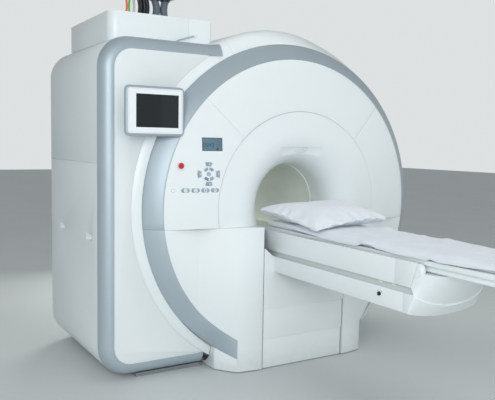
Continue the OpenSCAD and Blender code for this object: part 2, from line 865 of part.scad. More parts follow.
module cable(k) {
    d = cables[k][1];
    n = 12;
    loft([for (t = steps(0, 1, 8)) [for (j = [0:n - 1]) [
        cables[k][0] + sway[k] * sin(180 * t) + d / 2 * cos(360 * j / n),
        cable_y + d / 2 * sin(360 * j / n),
        mix(cable_low, cable_high, t)
    ]]]);
}

module cable_fittings() color("dimgray") {
    difference() {
        union() {
            for (c = cables) translate([c[0], cable_y, box_top - sheet_t - 6]) cylinder(h = sleeve_l + sheet_t + 6,
                r = c[1] / 2 + sleeve_t - slide_gap, $fn = round_fn);
            box(fitting_x0, fitting_x1, cable_y - 60, cable_y + 60, box_top - sheet_t - 14, box_top - sheet_t - slide_gap);
        }
    }
    box(fitting_x0, fitting_x1, cable_y - 70, cable_y + 70, ceiling_h, ceiling_h + 12);
    for (c = cables) translate([c[0], cable_y, cable_high]) cylinder(h = sleeve_l + 2, r = c[1] / 2 + sleeve_t,
        $fn = round_fn);
}

module orange_cable() color("coral") cable(0);
module green_cable() color("yellowgreen") cable(1);
module grey_cable() color("lightgray") cable(2);
module black_cable() color("black") cable(3);
module hose_left() color("slategray") cable(4);
module hose_right() color("slategray") cable(5);

// Monitor on the cabinet's front

monitor_x = -1081;
monitor_z = 1710;
monitor_corner = 30;
screen_x = -1069;
screen_z = 1711;
screen_t = 8;
monitor_face = -monitor_out;

// Outline of the monitor, smaller by the inset
module monitor_outline(inset) {
    x0 = monitor_x - monitor_w / 2;
    z0 = monitor_z - monitor_h / 2;
    round_rect(x0 + inset, z0 + inset, x0 + monitor_w - inset, z0 + monitor_h - inset, monitor_corner - inset);
}

module monitor_housing() color("lightsteelblue") {
    x0 = monitor_x - monitor_w / 2;
    z0 = monitor_z - monitor_h / 2;
    difference() {
        union() {
            along_y(monitor_face, monitor_face + monitor_t) monitor_outline(12);
            along_y(monitor_face + 4, monitor_face + monitor_t) monitor_outline(4);
            along_y(monitor_face + 10, monitor_face + monitor_t) monitor_outline(0);
            along_y(monitor_face + monitor_t - 1, cab_y)
                round_rect(x0 + 56, z0 + 16, x0 + monitor_w / 2 - 25, z0 + monitor_h - 16, 20);
        }
        screen_block(slide_gap);
    }
}

module screen_block(g) {
    box(screen_x - screen_w / 2 - g, screen_x + screen_w / 2 + g, monitor_face - 2 * g, monitor_face + screen_t + g,
        screen_z - screen_h / 2 - g, screen_z + screen_h / 2 + g);
}

module monitor_screen() color("black") intersection() {
    screen_block(0);
    box(-big, big, monitor_face + 1, big, -big, big);
}

// Keys, display and lamp in the left front cover

pad_x = -722;
pad_z = 1324;
lcd_x = -695;
lcd_z = 1514;
stop_x = -909;
stop_z = 1377;
lamp_x = -955;
row_z = 1220;
lamp_r = 12;
oval_x = [-877, -811, -746, -681];
key_back = 6;
tray_edge = 12;

// The slab between two surfaces parallel to the domed cover: p in front of it and t behind it
module dome_slab(p, t) {
    round_bore(120, 215) polygon(concat(
        [for (r = steps(seam_r - 60, ring_r, 10)) [r, dome_y(r) - p]],
        [for (r = steps(ring_r, seam_r - 60, 10)) [r, dome_back(r, wall) - wall + t]]
    ));
}

module oval(l, h) {
    square([l - h, h], center = true);
    for (s = [-1, 1]) translate([s * (l - h) / 2, 0]) circle(d = h, $fn = round_fn);
}

module arrow_outline(a, g) {
    half = 19;
    inner = jog_r + 6;
    difference() {
        intersection() {
            circle(r = arrow_r + g, $fn = fine);
            rotate(a) translate([-g * 2, 0]) polygon([[0, 0], [200, -200 * tan(half)], [200, 200 * tan(half)]]);
        }
        circle(r = inner - g, $fn = fine);
    }
}

module key_slab(p) dome_slab(p, wall + key_back);

module arrow_key(a) color("lightslategray") intersection() {
    key_slab(key_proud);
    along_y(-300, 100) translate([pad_x, pad_z]) arrow_outline(a, 0);
}

module oval_key(k) color("lightslategray") intersection() {
    key_slab(key_proud);
    along_y(-300, 100) translate([oval_x[k], row_z]) oval(oval_l, oval_h);
}

module centre_key() color("lightslategray") intersection() {
    key_slab(key_proud);
    along_y(-300, 100) translate([pad_x, pad_z]) circle(r = centre_r, $fn = fine);
}

jog_in = 23;

module ring_key() color("lightslategray") difference() {
    intersection() {
        key_slab(key_proud);
        along_y(-300, 100) translate([pad_x, pad_z]) difference() {
            circle(r = jog_r, $fn = fine);
            circle(r = jog_in, $fn = fine);
        }
    }
    // Grooves that mark its six fields
    for (a = [20:60:320]) translate([pad_x, 0, pad_z]) rotate([0, -a, 0])
        box(jog_in - 1, jog_r + 1, -300, dome_y(760) - 1.5, -1.5, 1.5);
}

stop_stem = 12;
stop_head = 14;

module stop_button() color("crimson") {
    y0 = dome_y(sqrt(stop_x * stop_x + pow(stop_z - axis_h, 2)));
    translate([stop_x, 0, stop_z]) rotate([-90, 0, 0]) rotate_extrude($fn = fine) polygon(concat(
        [[0, y0 - stop_travel - 2 - stop_head], [stop_r - 6, y0 - stop_travel - 2 - stop_head]],
        arc(stop_r - 6, y0 - stop_travel - 2 - stop_head + 6, 6, -90, 0, 6),
        [[stop_r, y0 - stop_travel - 2 - 5], [stop_stem, y0 - stop_travel - 5], [stop_stem, y0 + 26], [0, y0 + 26]]
    ));
}

// Holes of the front cover for the keys, the display, the lamp and the stop button's stem
module key_holes() {
    translate([pad_x, pad_z]) {
        difference() {
            circle(r = jog_r + key_gap, $fn = fine);
            circle(r = jog_in - key_gap, $fn = fine);
        }
        circle(r = jog_in - key_gap + 1, $fn = fine);
        for (a = [0:90:270]) arrow_outline(a, key_gap);
    }
    for (x = oval_x) translate([x, row_z]) oval(oval_l + 2 * key_gap, oval_h + 2 * key_gap);
    translate([lamp_x, row_z]) circle(r = lamp_r + slide_gap, $fn = fine);
    translate([stop_x, stop_z]) circle(r = stop_stem + key_gap, $fn = fine);
    translate([lcd_x, lcd_z]) square([lcd_w + 2 * slide_gap, lcd_h + 2 * slide_gap], center = true);
}

// Tray behind the keys, with the fixed ring between the centre key and the ring key
tray_gap = 3;
tray_t = 3;
tray_y = wall + key_back + tray_gap;

module tray_outline(inset) {
    round_rect(oval_x[0] - oval_l / 2 - tray_edge + inset, row_z - oval_h / 2 - tray_edge + inset,
        pad_x + arrow_r + tray_edge - inset, row_z + oval_h / 2 + tray_edge - inset, 8);
    round_rect(pad_x - arrow_r - tray_edge + inset, row_z - oval_h / 2 - tray_edge + inset,
        pad_x + arrow_r + tray_edge - inset, pad_z + arrow_r + tray_edge - inset, 8);
}

module key_tray() color("slategray") difference() {
    union() {
        intersection() {
            dome_slab(-tray_y, tray_y + tray_t);
            along_y(-300, 100) tray_outline(0);
        }
        intersection() {
            dome_slab(-wall - slide_gap, tray_y + 1);
            along_y(-300, 100) difference() {
                tray_outline(0);
                tray_outline(4);
            }
        }
        intersection() {
            dome_slab(0, tray_y + 1);
            along_y(-300, 100) translate([pad_x, pad_z]) difference() {
                circle(r = jog_in - key_gap, $fn = fine);
                circle(r = centre_r + key_gap, $fn = fine);
            }
        }
    }
    bore_rod(seam_r + 4, -big, big);
}

module status_display() color("slategray") {
    intersection() {
        dome_slab(-0.6, wall);
        along_y(-300, 100) translate([lcd_x, lcd_z]) square([lcd_w, lcd_h], center = true);
    }
    // Lamp at the end of the row of keys
    intersection() {
        dome_slab(1.5, wall);
        along_y(-300, 100) translate([lamp_x, row_z]) circle(r = lamp_r, $fn = fine);
    }
}

// Lift

frame_y = throat_y + 22;
rail_x = 220;
rail_w = 30;
rail_d = 20;
carriage_top = table_low + 8;
carriage_low = carriage_top - 220;
carriage_y = frame_y - rail_d - 36;
rod_y = carriage_y - 60;
rod_low = table_low - lift + 90;
barrel_r = rod_r + 20;
barrel_top = rod_low + 58;

module lift_frame() color("slategray") {
    box(-slot_x + 20, slot_x - 20, frame_y, frame_y + 16, 12, axis_h - throat_r - 45);
    box(-slot_x + 14, slot_x - 14, -front_out + 3 * apron_t + 2, frame_y + 16, 0, 12);
    both_sides() box(rail_x - rail_w / 2, rail_x + rail_w / 2, frame_y - rail_d, frame_y, 12, axis_h - throat_r - 50);
    // Foot that joins it to the base frame
    box(-beam_x1, beam_x1, frame_y + 1, base_y, 0, 60);
}

module lift_cylinder() color("silver") {
    difference() {
        translate([0, rod_y, 12]) cylinder(h = barrel_top - 12, r = barrel_r, $fn = fine);
        translate([0, rod_y, 30]) cylinder(h = big, r = rod_r + slide_gap, $fn = fine);
    }
}

module apron(k, x, z0, z1) {
    y0 = -front_out + k * (apron_t + 0.5);
    box(-x, x, y0, y0 + apron_t, z0, z1);
}

apron_cover = 40;

module apron_lower() color("whitesmoke") apron(2, slot_x - 20, floor_gap, apron_low_h + apron_cover);
module apron_middle() color("whitesmoke") apron(1, slot_x - 16, apron_low_h - 5, apron_mid_h + apron_cover);

// Upper edge of the apron beside the table, as [distance out from the fascia, height over the groove's lower edge]
apron_edge = [[73, 58], [64, 54.5], [58, 50], [52, 43], [40, 29.5], [28, 17.5], [17, 8.5], [6, 3], [0, 2]];

module apron_upper() color("whitesmoke") difference() {
    along_y(-front_out, -front_out + apron_t) polygon(concat(
        [[12 - slot_x, apron_mid_h], [slot_x - 12, apron_mid_h]],
        [for (p = apron_edge) [min(fascia_x + p[0], slot_x - 12), groove_low + p[1]]],
        [for (k = [len(apron_edge) - 1:-1:0]) [-min(fascia_x + apron_edge[k][0], slot_x - 12), groove_low + apron_edge[k][1]]]
    ));
    box(-fascia_x - seam, fascia_x + seam, -big, big, groove_low - seam, big);
    box(-core_x - seam, core_x + seam, -big, big, table_low, big);
}

// Table

core_x = 230;
core_wall = 8;
core_top = 874;
core_end = table_l - 10;
window_y = 60;
roller_r = 28;
roller_z = top_low - slide_gap - roller_r;
roller_x = 80;
axle_r = 8;
fascia_t = 8;

module core_section() difference() {
    polygon([
        [fascia_t - fascia_x, table_low], [fascia_x - fascia_t, table_low], [fascia_x - fascia_t, table_low + core_wall],
        [core_x, table_low + core_wall], [core_x, core_top], [-core_x, core_top],
        [-core_x, table_low + core_wall], [fascia_t - fascia_x, table_low + core_wall]
    ]);
    translate([-core_x + core_wall, table_low + core_wall])
        square([2 * (core_x - core_wall), core_top - table_low - 2 * core_wall]);
}

module table_beam() color("silver") {
    difference() {
        union() {
            difference() {
                along_y(-core_end, carriage_y) core_section();
                // The underside's side strips start with the lower fascia
                both_sides() box(core_x, big, -front_out - seam, big, -big, big);
            }
            // Rails that the tabletop runs on
            both_sides() box(150, 180, -core_end, carriage_y, core_top - 1, top_low - slide_gap);
            // Seats of the end cap
            both_sides() box(core_x - core_wall, core_x, -table_l - cap_seat, -core_end + 1, groove_low - 2,
                groove_low + 3);
            // Bearing walls of the drive roller
            both_sides() box(roller_x + 2, roller_x + 14, -window_y - 50, -window_y + 50, table_low + core_wall - 1,
                core_top);
            // Carriage
            box(-300, 300, carriage_y, carriage_y + 12, carriage_low, carriage_top);
            both_sides() for (z = [carriage_low, carriage_top - 70])
                box(rail_x - 40, rail_x + 40, carriage_y + 11, frame_y - slide_gap, z, z + 70);
        }
        // Opening that the lift cylinder enters when the table is down
        translate([0, rod_y, table_low - 1]) cylinder(h = core_wall + 2, r = barrel_r + 4, $fn = fine);
        both_sides() box(rail_x - rail_w / 2 - slide_gap, rail_x + rail_w / 2 + slide_gap, carriage_y + 15, big, -big,
            big);
        box(-roller_x - 2, roller_x + 2, -window_y - 40, -window_y + 40, table_low + 40, big);
        translate([-200, -window_y, roller_z]) rotate([0, 90, 0]) cylinder(h = 400, r = axle_r + 0.05, $fn = fine);
    }
    // Lift rod from the beam's top plate down into the cylinder
    translate([0, rod_y, rod_low]) cylinder(h = core_top - core_wall - rod_low + 1, r = rod_r, $fn = fine);
}

module drive_roller() color("dimgray") {
    translate([-roller_x, -window_y, roller_z]) rotate([0, 90, 0]) cylinder(h = 2 * roller_x, r = roller_r, $fn = fine);
    translate([-roller_x - 13, -window_y, roller_z]) rotate([0, 90, 0]) cylinder(h = 2 * roller_x + 26, r = axle_r,
        $fn = fine);
}

// Section of the left or right fascia: upper wall, groove, lower wall and bottom flange
module fascia_section() {
    x = fascia_x;
    polygon([
        [x, table_low + 1], [x, groove_low], [x - groove_d, groove_low], [x - groove_d, groove_top], [x, groove_top],
        [x, fascia_top], [x - 18, fascia_top], [x - 18, fascia_top - fascia_t], [x - fascia_t, fascia_top - fascia_t],
        [x - fascia_t, groove_top + fascia_t], [x - groove_d - fascia_t, groove_top + fascia_t],
        [x - groove_d - fascia_t, groove_low - fascia_t], [x - fascia_t, groove_low - fascia_t],
        [x - fascia_t, table_low + 1]
    ]);
}

// Side view of a fascia, with its slanted end; the part over the groove's lower edge runs back past the apron
module fascia_side() {
    start = -front_out - seam;
    polygon([
        [-table_l - fascia_slant, fascia_top], [-table_l - 17, groove_top], [-table_l - 38, groove_low],
        [-table_l, table_low], [start, table_low], [start, groove_low], [carriage_y, groove_low],
        [carriage_y, fascia_top]
    ]);
}

module fascia() intersection() {
    along_y(-big, big) fascia_section();
    along_x(0, big) fascia_side();
}

// Rounded end cap: curves at rising heights that bulge forward and sag in the middle, longer towards the top
function cap_ring(z, half, y0, reach, power, sag) = [for (a = steps(180, 360, 24)) let (
    c = cos(a),
    s = -sin(a)
) [half * sign(c) * pow(abs(c), power), y0 - reach * pow(abs(s), power), z - sag * pow(abs(s), 1.5)]];

cap_seat = 39;
cap_top = top_low - 3;

module end_cap() {
    half = fascia_x;
    rows = [
        [table_low + 1, half - 1, 2, 8, 1, cap_sag - 3],
        [table_low + 6, half, 3.5, 16, 1, cap_sag],
        [groove_low - 2, half, cap_seat, 40, 1, cap_sag + 32],
        [groove_low + 3, half - 3, cap_seat, 34, 0.98, cap_sag + 31],
        [groove_top, half - 3, 19, 113, 0.95, cap_sag],
        [mix(groove_top, cap_top, 0.55), half - 4, 33, 154, 0.9, cap_sag / 2 - 3],
        [cap_top, half - 9, 45, cap_l, 0.85, 0]
    ];
    loft([for (r = rows) cap_ring(r[0], r[1], -table_l - r[2], r[3], r[4], r[5])], true);
}

knob_y = -1153;
knob_z = 731;

module table_fascias() color("whitesmoke") {
    difference() {
        both_sides() fascia();
        translate([-fascia_x - 1, knob_y, knob_z]) rotate([0, 90, 0]) cylinder(h = 30, r = knob_r + key_gap, $fn = fine);
    }
    end_cap();
}

module release_knob() color("black") {
    translate([-fascia_x - 9, knob_y, knob_z]) rotate([0, 90, 0]) difference() {
        union() {
            cylinder(h = 22, r = knob_r, $fn = fine);
        }
        translate([-2, -big, -1]) cube([4, 2 * big, 4]);
    }
}

// Tabletop and what lies on it

tail_y = head_y - top_l;
top_z = top_low + top_t;
groove_z = top_low + 28;

module top_section() polygon(concat(
    [[-lip_x + 14, top_low], [lip_x - 14, top_low]],
    arc(lip_x - 10, top_low + 12, 10, -60, 60, 6),
    [[lip_x - 8, groove_z], [top_x, groove_z + 10], [top_x, top_z], [-top_x, top_z], [-top_x, groove_z + 10],
        [-lip_x + 8, groove_z]],
    arc(-lip_x + 10, top_low + 12, 10, 120, 240, 6)
));

module top_plan(inset, r) round_rect(-big / 4 * 0 - top_x - 10 + inset, tail_y + inset, top_x + 10 - inset, head_y - inset, r);

module tabletop() color("ghostwhite") intersection() {
    along_y(tail_y, head_y) top_section();
    translate([0, 0, top_low - 1]) linear_extrude(height = top_t + 2) top_plan(0, 60);
}

mattress_low = top_z + slide_gap;
mattress_top = mattress_low + mattress_t;

module mattress() color("gainsboro") intersection() {
    translate([0, 0, mattress_low]) linear_extrude(height = mattress_t)
        round_rect(-top_x, tail_y + 6, top_x, head_y - 6, 50);
}

sheet_low = mattress_top + slide_gap;

module sheet() color("lavender")
    along_y(tail_y + 80, -sheet_start) {
        x = top_x + slide_gap;
        translate([-x - cloth_t, sheet_low]) square([2 * (x + cloth_t), cloth_t]);
        for (s = [-x - cloth_t, x]) translate([s, top_z - 20]) square([cloth_t, sheet_low - top_z + 20]);
    }

pillow_low = sheet_low + cloth_t + slide_gap;
pillow_y = 12 - pillow_l / 2;

// Half thickness of the pillow over its plan, and its outline as a rounded square
function pillow_ring(k, n) = let (
    z = -cos(180 * k / n) / cos(180 / n),
    s = pow(sin(180 * k / n), 0.55)
) [for (a = [0:15:345]) [
    pillow_w / 2 * s * sign(cos(a)) * pow(abs(cos(a)), 0.5),
    pillow_y + pillow_l / 2 * s * sign(sin(a)) * pow(abs(sin(a)), 0.5),
    pillow_low + pillow_t / 2 * (1 + z)
]];

module pillow() color("lavender") loft([for (k = [1:11]) pillow_ring(k, 12)]);

base_frame();
vacuum_vessel();
helium_vessel();
gradient_coil();
patient_tube();
bore_bridge();
front_ring();
ring_ends();
front_cover_top();
front_cover_left();
front_cover_right();
funnel_cover();
laser_window();
lower_covers();
skirts();
shell_top();
shell_sides();
rear_cover();
cabinet_trim();
cabinet_front();
cabinet_side_upper();
cabinet_side_lower();
cabinet_back();
cabinet_frame();
top_box();
cable_fittings();
orange_cable();
green_cable();
grey_cable();
black_cable();
hose_left();
hose_right();
monitor_housing();
monitor_screen();
key_tray();
status_display();
stop_button();
centre_key();
ring_key();
arrow_key(0);  // arrow_key_right
arrow_key(90);  // arrow_key_up
arrow_key(180);  // arrow_key_left
arrow_key(270);  // arrow_key_down
oval_key(0);  // oval_key_1
oval_key(1);  // oval_key_2
oval_key(2);  // oval_key_3
oval_key(3);  // oval_key_4
lift_frame();
lift_cylinder();
apron_lower();
apron_middle();
apron_upper();
table_beam();
table_fascias();
release_knob();
drive_roller();
tabletop();
mattress();
sheet();
pillow();
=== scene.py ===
# %% [markdown]
# # A closed MRI scanner, dressed for a studio picture
#
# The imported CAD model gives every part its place: the gantry's covers, the cabinet, the table and the tabletop. This
# script loads it, puts a camera where the photographer stood, and then gives each surface the finish of the real
# thing. Soft goods, cables and small trim are modelled here, part by part, on top of the solids.

# %% Load the frame
import bpy
import bmesh
import json
import math
from mathutils import Matrix, Vector, noise
from mathutils.bvhtree import BVHTree

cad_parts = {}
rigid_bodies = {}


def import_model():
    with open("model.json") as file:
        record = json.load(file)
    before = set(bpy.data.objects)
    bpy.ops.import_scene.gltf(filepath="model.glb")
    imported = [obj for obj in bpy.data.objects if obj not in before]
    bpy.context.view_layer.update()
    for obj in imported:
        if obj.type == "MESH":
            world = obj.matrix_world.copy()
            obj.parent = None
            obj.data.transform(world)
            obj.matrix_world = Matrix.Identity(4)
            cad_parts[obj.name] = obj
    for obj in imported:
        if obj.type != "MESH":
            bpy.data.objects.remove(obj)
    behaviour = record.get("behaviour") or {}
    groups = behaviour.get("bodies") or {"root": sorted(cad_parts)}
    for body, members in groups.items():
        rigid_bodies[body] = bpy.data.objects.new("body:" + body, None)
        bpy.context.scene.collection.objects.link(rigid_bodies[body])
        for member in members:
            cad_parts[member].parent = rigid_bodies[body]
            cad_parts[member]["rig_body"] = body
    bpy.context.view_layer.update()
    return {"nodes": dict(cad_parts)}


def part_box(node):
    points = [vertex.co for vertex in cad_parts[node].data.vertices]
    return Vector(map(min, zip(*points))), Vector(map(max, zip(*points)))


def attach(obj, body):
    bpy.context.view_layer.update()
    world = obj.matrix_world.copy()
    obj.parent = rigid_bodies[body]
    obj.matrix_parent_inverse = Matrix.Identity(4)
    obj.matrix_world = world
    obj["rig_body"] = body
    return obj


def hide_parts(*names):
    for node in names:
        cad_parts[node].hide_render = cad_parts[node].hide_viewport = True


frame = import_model()
nodes = frame["nodes"]

# %% [markdown]
# ## Small helpers
#
# Blender's operators act on what is selected, so each step starts from an empty selection, and each made piece is
# baked: its size, turn and place are written into its points. Colours are written as the hex values that a painter
# would read off the object, and one function turns them into the linear values that Cycles works with. One more
# function adds a shader node, sets its values and makes its links.

# %% Helpers for selection, colour and shader nodes
def pick(*objects):
    """Selects only these objects, and makes the first one active."""
    if bpy.context.object and bpy.context.object.mode != "OBJECT":
        bpy.ops.object.mode_set(mode="OBJECT")
    for o in bpy.context.view_layer.objects:
        o.select_set(False)
    for o in objects:
        o.select_set(True)
    bpy.context.view_layer.objects.active = objects[0] if objects else None


def open_mesh(o):
    """Edit mode on this object, with its whole mesh selected."""
    pick(o)
    bpy.ops.object.mode_set(mode="EDIT")
    bpy.ops.mesh.select_all(action="SELECT")


def close_mesh():
    """Back to object mode."""
    bpy.ops.object.mode_set(mode="OBJECT")


def unit(value):
    """Clamps a value to between 0 and 1."""
    return min(1, max(0, value))


def linear(hex_code):
    """sRGB hex to a linear RGBA tuple."""
    values = [int(hex_code[i:i + 2], 16) / 255 for i in (1, 3, 5)]
    return tuple(v / 12.92 if v <= 0.04045 else ((v + 0.055) / 1.055) ** 2.4 for v in values) + (1.0,)


def add(tree, kind, settings=None, **inputs):
    """Adds a node, sets its properties, and sets or links its inputs by name."""
    made = tree.nodes.new(kind)
    for key, value in (settings or {}).items():
        setattr(made, key, value)
    for key, value in inputs.items():
        name = key.replace("_", " ")
        socket = made.inputs[int(name[1:])] if name[0] == "i" and name[1:].isdigit() else made.inputs[name]
        if isinstance(value, bpy.types.NodeSocket):
            tree.links.new(value, socket)
        else:
            socket.default_value = value
    return made


def finish_material(name, colour=None, **surface):
    """A new material with one Principled shader. Returns the material, its tree and the shader."""
    made = bpy.data.materials.new(name)
    made.use_nodes = True
    tree = made.node_tree
    shader = tree.nodes["Principled BSDF"]
    if colour:
        shader.inputs["Base Color"].default_value = linear(colour)
    for key, value in surface.items():
        shader.inputs[key.replace("_", " ")].default_value = value
    return made, tree, shader


def linked(name, data):
    """A new object with this data, in the scene."""
    made = bpy.data.objects.new(name, data)
    bpy.context.scene.collection.objects.link(made)
    return made


def bake(o, place=(0, 0, 0), turn=(0, 0, 0), scale=(1, 1, 1)):
    """Scales, turns and places an object, and writes that into its points."""
    pick(o)
    o.location, o.rotation_euler, o.scale = place, turn, scale
    bpy.ops.object.transform_apply(location=True, rotation=True, scale=True)
    return o


def basic(shape, name, place=(0, 0, 0), turn=(0, 0, 0), scale=(1, 1, 1), **settings):
    """Adds a basic shape by its operator, and bakes its scale, turn and place."""
    pick()
    shape(**settings)
    made = bpy.context.object
    made.name = name
    return bake(made, place, turn, scale)


def use(o, kind, **settings):
    """Adds a modifier with these settings and applies it."""
    pick(o)
    step = o.modifiers.new(kind.lower(), kind)
    for key, value in settings.items():
        setattr(step, key, value)
    bpy.ops.object.modifier_apply(modifier=step.name)


def face_out(o, weld=1e-5):
    """Merges doubled points and turns every face outwards."""
    open_mesh(o)
    bpy.ops.mesh.remove_doubles(threshold=weld)
    bpy.ops.mesh.normals_make_consistent(inside=False)
    close_mesh()


def smooth(o, angle=35):
    """Smooth shading, with edges sharper than the angle kept crisp."""
    pick(o)
    bpy.ops.object.shade_smooth_by_angle(angle=math.radians(angle))


def rounded(o, width, segments=3, angle=30):
    """Eases the edges of a made piece by a real radius in metres."""
    use(o, "BEVEL", width=width, segments=segments, limit_method="ANGLE", angle_limit=math.radians(angle))
    smooth(o)


def wear(*objects, material):
    """Gives objects this material in every slot."""
    for o in objects:
        o.data.materials.clear()
        o.data.materials.append(material)


# %% [markdown]
# ## Camera
#
# The photographer stood left of the table, at chest height, and looked slightly down. The focal length and the three
# angles come from the ring's ellipses and the edges of the table in the photo. The picture is 495 by 400.

# %% Camera
photo_px, focal_px = 495, 653.96
yaw, pitch, roll = math.radians(31.43), math.radians(5.0), math.radians(1.014)
stand = Vector((-2.689, -3.741, 1.528))
look = Vector((math.sin(yaw) * math.cos(pitch), math.cos(yaw) * math.cos(pitch), -math.sin(pitch)))
side = look.cross(Vector((0, 0, 1))).normalized()
up = side.cross(look)
right = side * math.cos(roll) + up * math.sin(roll)
top = up * math.cos(roll) - side * math.sin(roll)
lens = bpy.data.cameras.new("camera")
lens.sensor_width = 36
lens.lens = focal_px / photo_px * lens.sensor_width
lens.clip_end = 60
camera = linked("camera", lens)
camera.matrix_world = Matrix((
    (right.x, top.x, -look.x, stand.x),
    (right.y, top.y, -look.y, stand.y),
    (right.z, top.z, -look.z, stand.z),
    (0, 0, 0, 1)))
bpy.context.scene.camera = camera
print("lens", round(lens.lens, 2), "mm")

# %% [markdown]
# ## Cables from the top box to the ceiling
#
# A scanner like this is fed from above: three thin coloured signal cables, one thick bundle of black power cables and
# two grey air hoses climb from the top box into the ceiling. They hang taut between two fittings, so each is a single
# curve with a slight sway. A round bevel on the curve gives it its thickness, and keeps every bend smooth.

# %% Route of one cable
cable_y, cable_low, cable_high = 0.500, 2.368, 2.482


def rising(name, x, y, sway, diameter, steps=15):
    """A taut cable from the sleeve on the box to the sleeve at the ceiling."""
    points = []
    for k in range(steps + 1):
        t = k / steps
        points.append((x + sway * math.sin(math.pi * t), y, cable_low + (cable_high - cable_low) * t))
    line = bpy.data.curves.new(name, "CURVE")
    line.dimensions, line.bevel_depth, line.bevel_resolution = "3D", diameter / 2, 5
    run = line.splines.new("POLY")
    run.points.add(steps)
    for point, place in zip(run.points, points):
        point.co = (*place, 1)
    run.use_smooth = True
    made = linked(name, line)
    pick(made)
    bpy.ops.object.convert(target="MESH")
    length = sum(math.dist(a, b) for a, b in zip(points, points[1:]))
    return made, points, length


# %% Coloured cables
coloured = {}
for name, x, sway, diameter in (("orange_cable", -1.075, 0.006, 0.014), ("green_cable", -1.048, -0.005, 0.014),
                                ("grey_cable", -1.022, 0.004, 0.016)):
    made, path, length = rising(name + "_run", x, cable_y, sway, diameter)
    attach(made, "gantry")
    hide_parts(name)
    coloured[name] = made
    print(name, round(length, 4), "m")

# %% Black bundle of twelve power cables
strands = []
bundle_x, bundle_turn, strand_d, bundle_sway = -0.956, 0.3, 0.0175, 0.008
inner_count, inner_r, outer_count, outer_r = 3, 0.0105, 9, 0.0310
for k in range(inner_count + outer_count):
    ring, turn = (inner_r, k / inner_count) if k < inner_count else (outer_r, (k - inner_count) / outer_count)
    a = 2 * math.pi * turn + bundle_turn
    made, path, length = rising(f"power_cable_{k + 1}", bundle_x + ring * math.cos(a), cable_y + ring * math.sin(a),
                                bundle_sway, strand_d)
    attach(made, "gantry")
    strands.append(made)
for made in strands:
    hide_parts("black_cable")
print("bundle", len(strands), "cables")

# %% [markdown]
# The hoses are corrugated ducts. One rib is drawn as a short profile, repeated up the hose and turned about its axis
# with the Screw modifier. The finished tube is then leaned along the same sway as the cable beside it.

# %% Corrugated hoses
hose_r, groove, ribs = 0.026, 0.0024, 15


def corrugated(name, x, sway):
    """A ribbed duct that stands between the two sleeves."""
    outline = []
    for k in range(ribs):
        low = cable_low + (cable_high - cable_low) * k / ribs
        step = (cable_high - cable_low) / ribs
        outline += [(hose_r - groove, low), (hose_r - groove, low + step * 0.22), (hose_r, low + step * 0.38),
                    (hose_r, low + step * 0.72), (hose_r - groove, low + step * 0.9)]
    outline.append((hose_r - groove, cable_high))
    mesh = bpy.data.meshes.new(name)
    mesh.from_pydata([(r, 0, z) for r, z in outline], [(k, k + 1) for k in range(len(outline) - 1)], [])
    made = linked(name, mesh)
    use(made, "SCREW", angle=2 * math.pi, steps=40, render_steps=40, use_merge_vertices=True)
    for v in made.data.vertices:
        t = (v.co.z - cable_low) / (cable_high - cable_low)
        v.co.x += x + sway * math.sin(math.pi * t)
        v.co.y += cable_y
    face_out(made)
    smooth(made, 60)
    return made


hoses = [corrugated("air_hose_left", -0.868, 0.014), corrugated("air_hose_right", -0.792, -0.010)]
for made, node in zip(hoses, ("hose_left", "hose_right")):
    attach(made, "gantry")
    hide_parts(node)
print("hose ribs", ribs, "pitch", round(1000 * (cable_high - cable_low) / ribs, 1), "mm")

# %% [markdown]
# ## Finishes of the hard parts
#
# The covers are glass-fibre shells with a satin lacquer. Lacquer that is sprayed by hand dries with a faint ripple a
# few millimetres long, which only shows where a light is mirrored in it. So the colour hardly varies, and the ripple
# goes into the bump. Near the floor, mops and shoes leave the lacquer a little greyer.

# %% Satin white lacquer, sprayed on glass fibre: a soft, broad highlight with a slight ripple
cover_white, tree, shader = finish_material("satin_lacquer_on_glass_fibre", Roughness=0.38, IOR=1.5,
                                            Coat_Weight=0.18, Coat_Roughness=0.22)
where = add(tree, "ShaderNodeTexCoord").outputs["Object"]
cloudy = add(tree, "ShaderNodeTexNoise", Vector=where, Scale=1000 / 620, Detail=3.0, Roughness=0.5)
tone = add(tree, "ShaderNodeMix", {"data_type": "RGBA"}, i0=cloudy.outputs["Fac"], i6=linear("#E3EAEC"),
           i7=linear("#EAF0F1"))
parts = add(tree, "ShaderNodeSeparateXYZ", Vector=where)
patchy = add(tree, "ShaderNodeTexNoise", Vector=where, Scale=1000 / 35, Detail=4.0, Roughness=0.6)
height = add(tree, "ShaderNodeMapRange", Value=parts.outputs["Z"], From_Min=0.0, From_Max=0.16, To_Min=0.42,
             To_Max=0.0)
scuff = add(tree, "ShaderNodeMath", {"operation": "MULTIPLY"}, i0=height.outputs["Result"], i1=patchy.outputs["Fac"])
worn = add(tree, "ShaderNodeMix", {"data_type": "RGBA"}, i0=scuff.outputs["Value"], i6=tone.outputs[2],
           i7=linear("#A9AFAE"))
tree.links.new(worn.outputs[2], shader.inputs["Base Color"])
polish = add(tree, "ShaderNodeMapRange", Value=cloudy.outputs["Fac"], To_Min=0.33, To_Max=0.42)
tree.links.new(polish.outputs["Result"], shader.inputs["Roughness"])
ripple = add(tree, "ShaderNodeTexNoise", Vector=where, Scale=1000 / 5, Detail=1.0)
bump = add(tree, "ShaderNodeBump", Strength=0.05, Distance=0.0004, Height=ripple.outputs["Fac"])
tree.links.new(bump.outputs["Normal"], shader.inputs["Normal"])

# %% Silver lacquer: aluminium flakes under a clear coat, brighter where it faces the light
ring_silver, tree, shader = finish_material("silver_metallic_lacquer", Metallic=0.45, Roughness=0.46,
                                            Coat_Weight=0.12, Coat_Roughness=0.3)
where = add(tree, "ShaderNodeTexCoord").outputs["Object"]
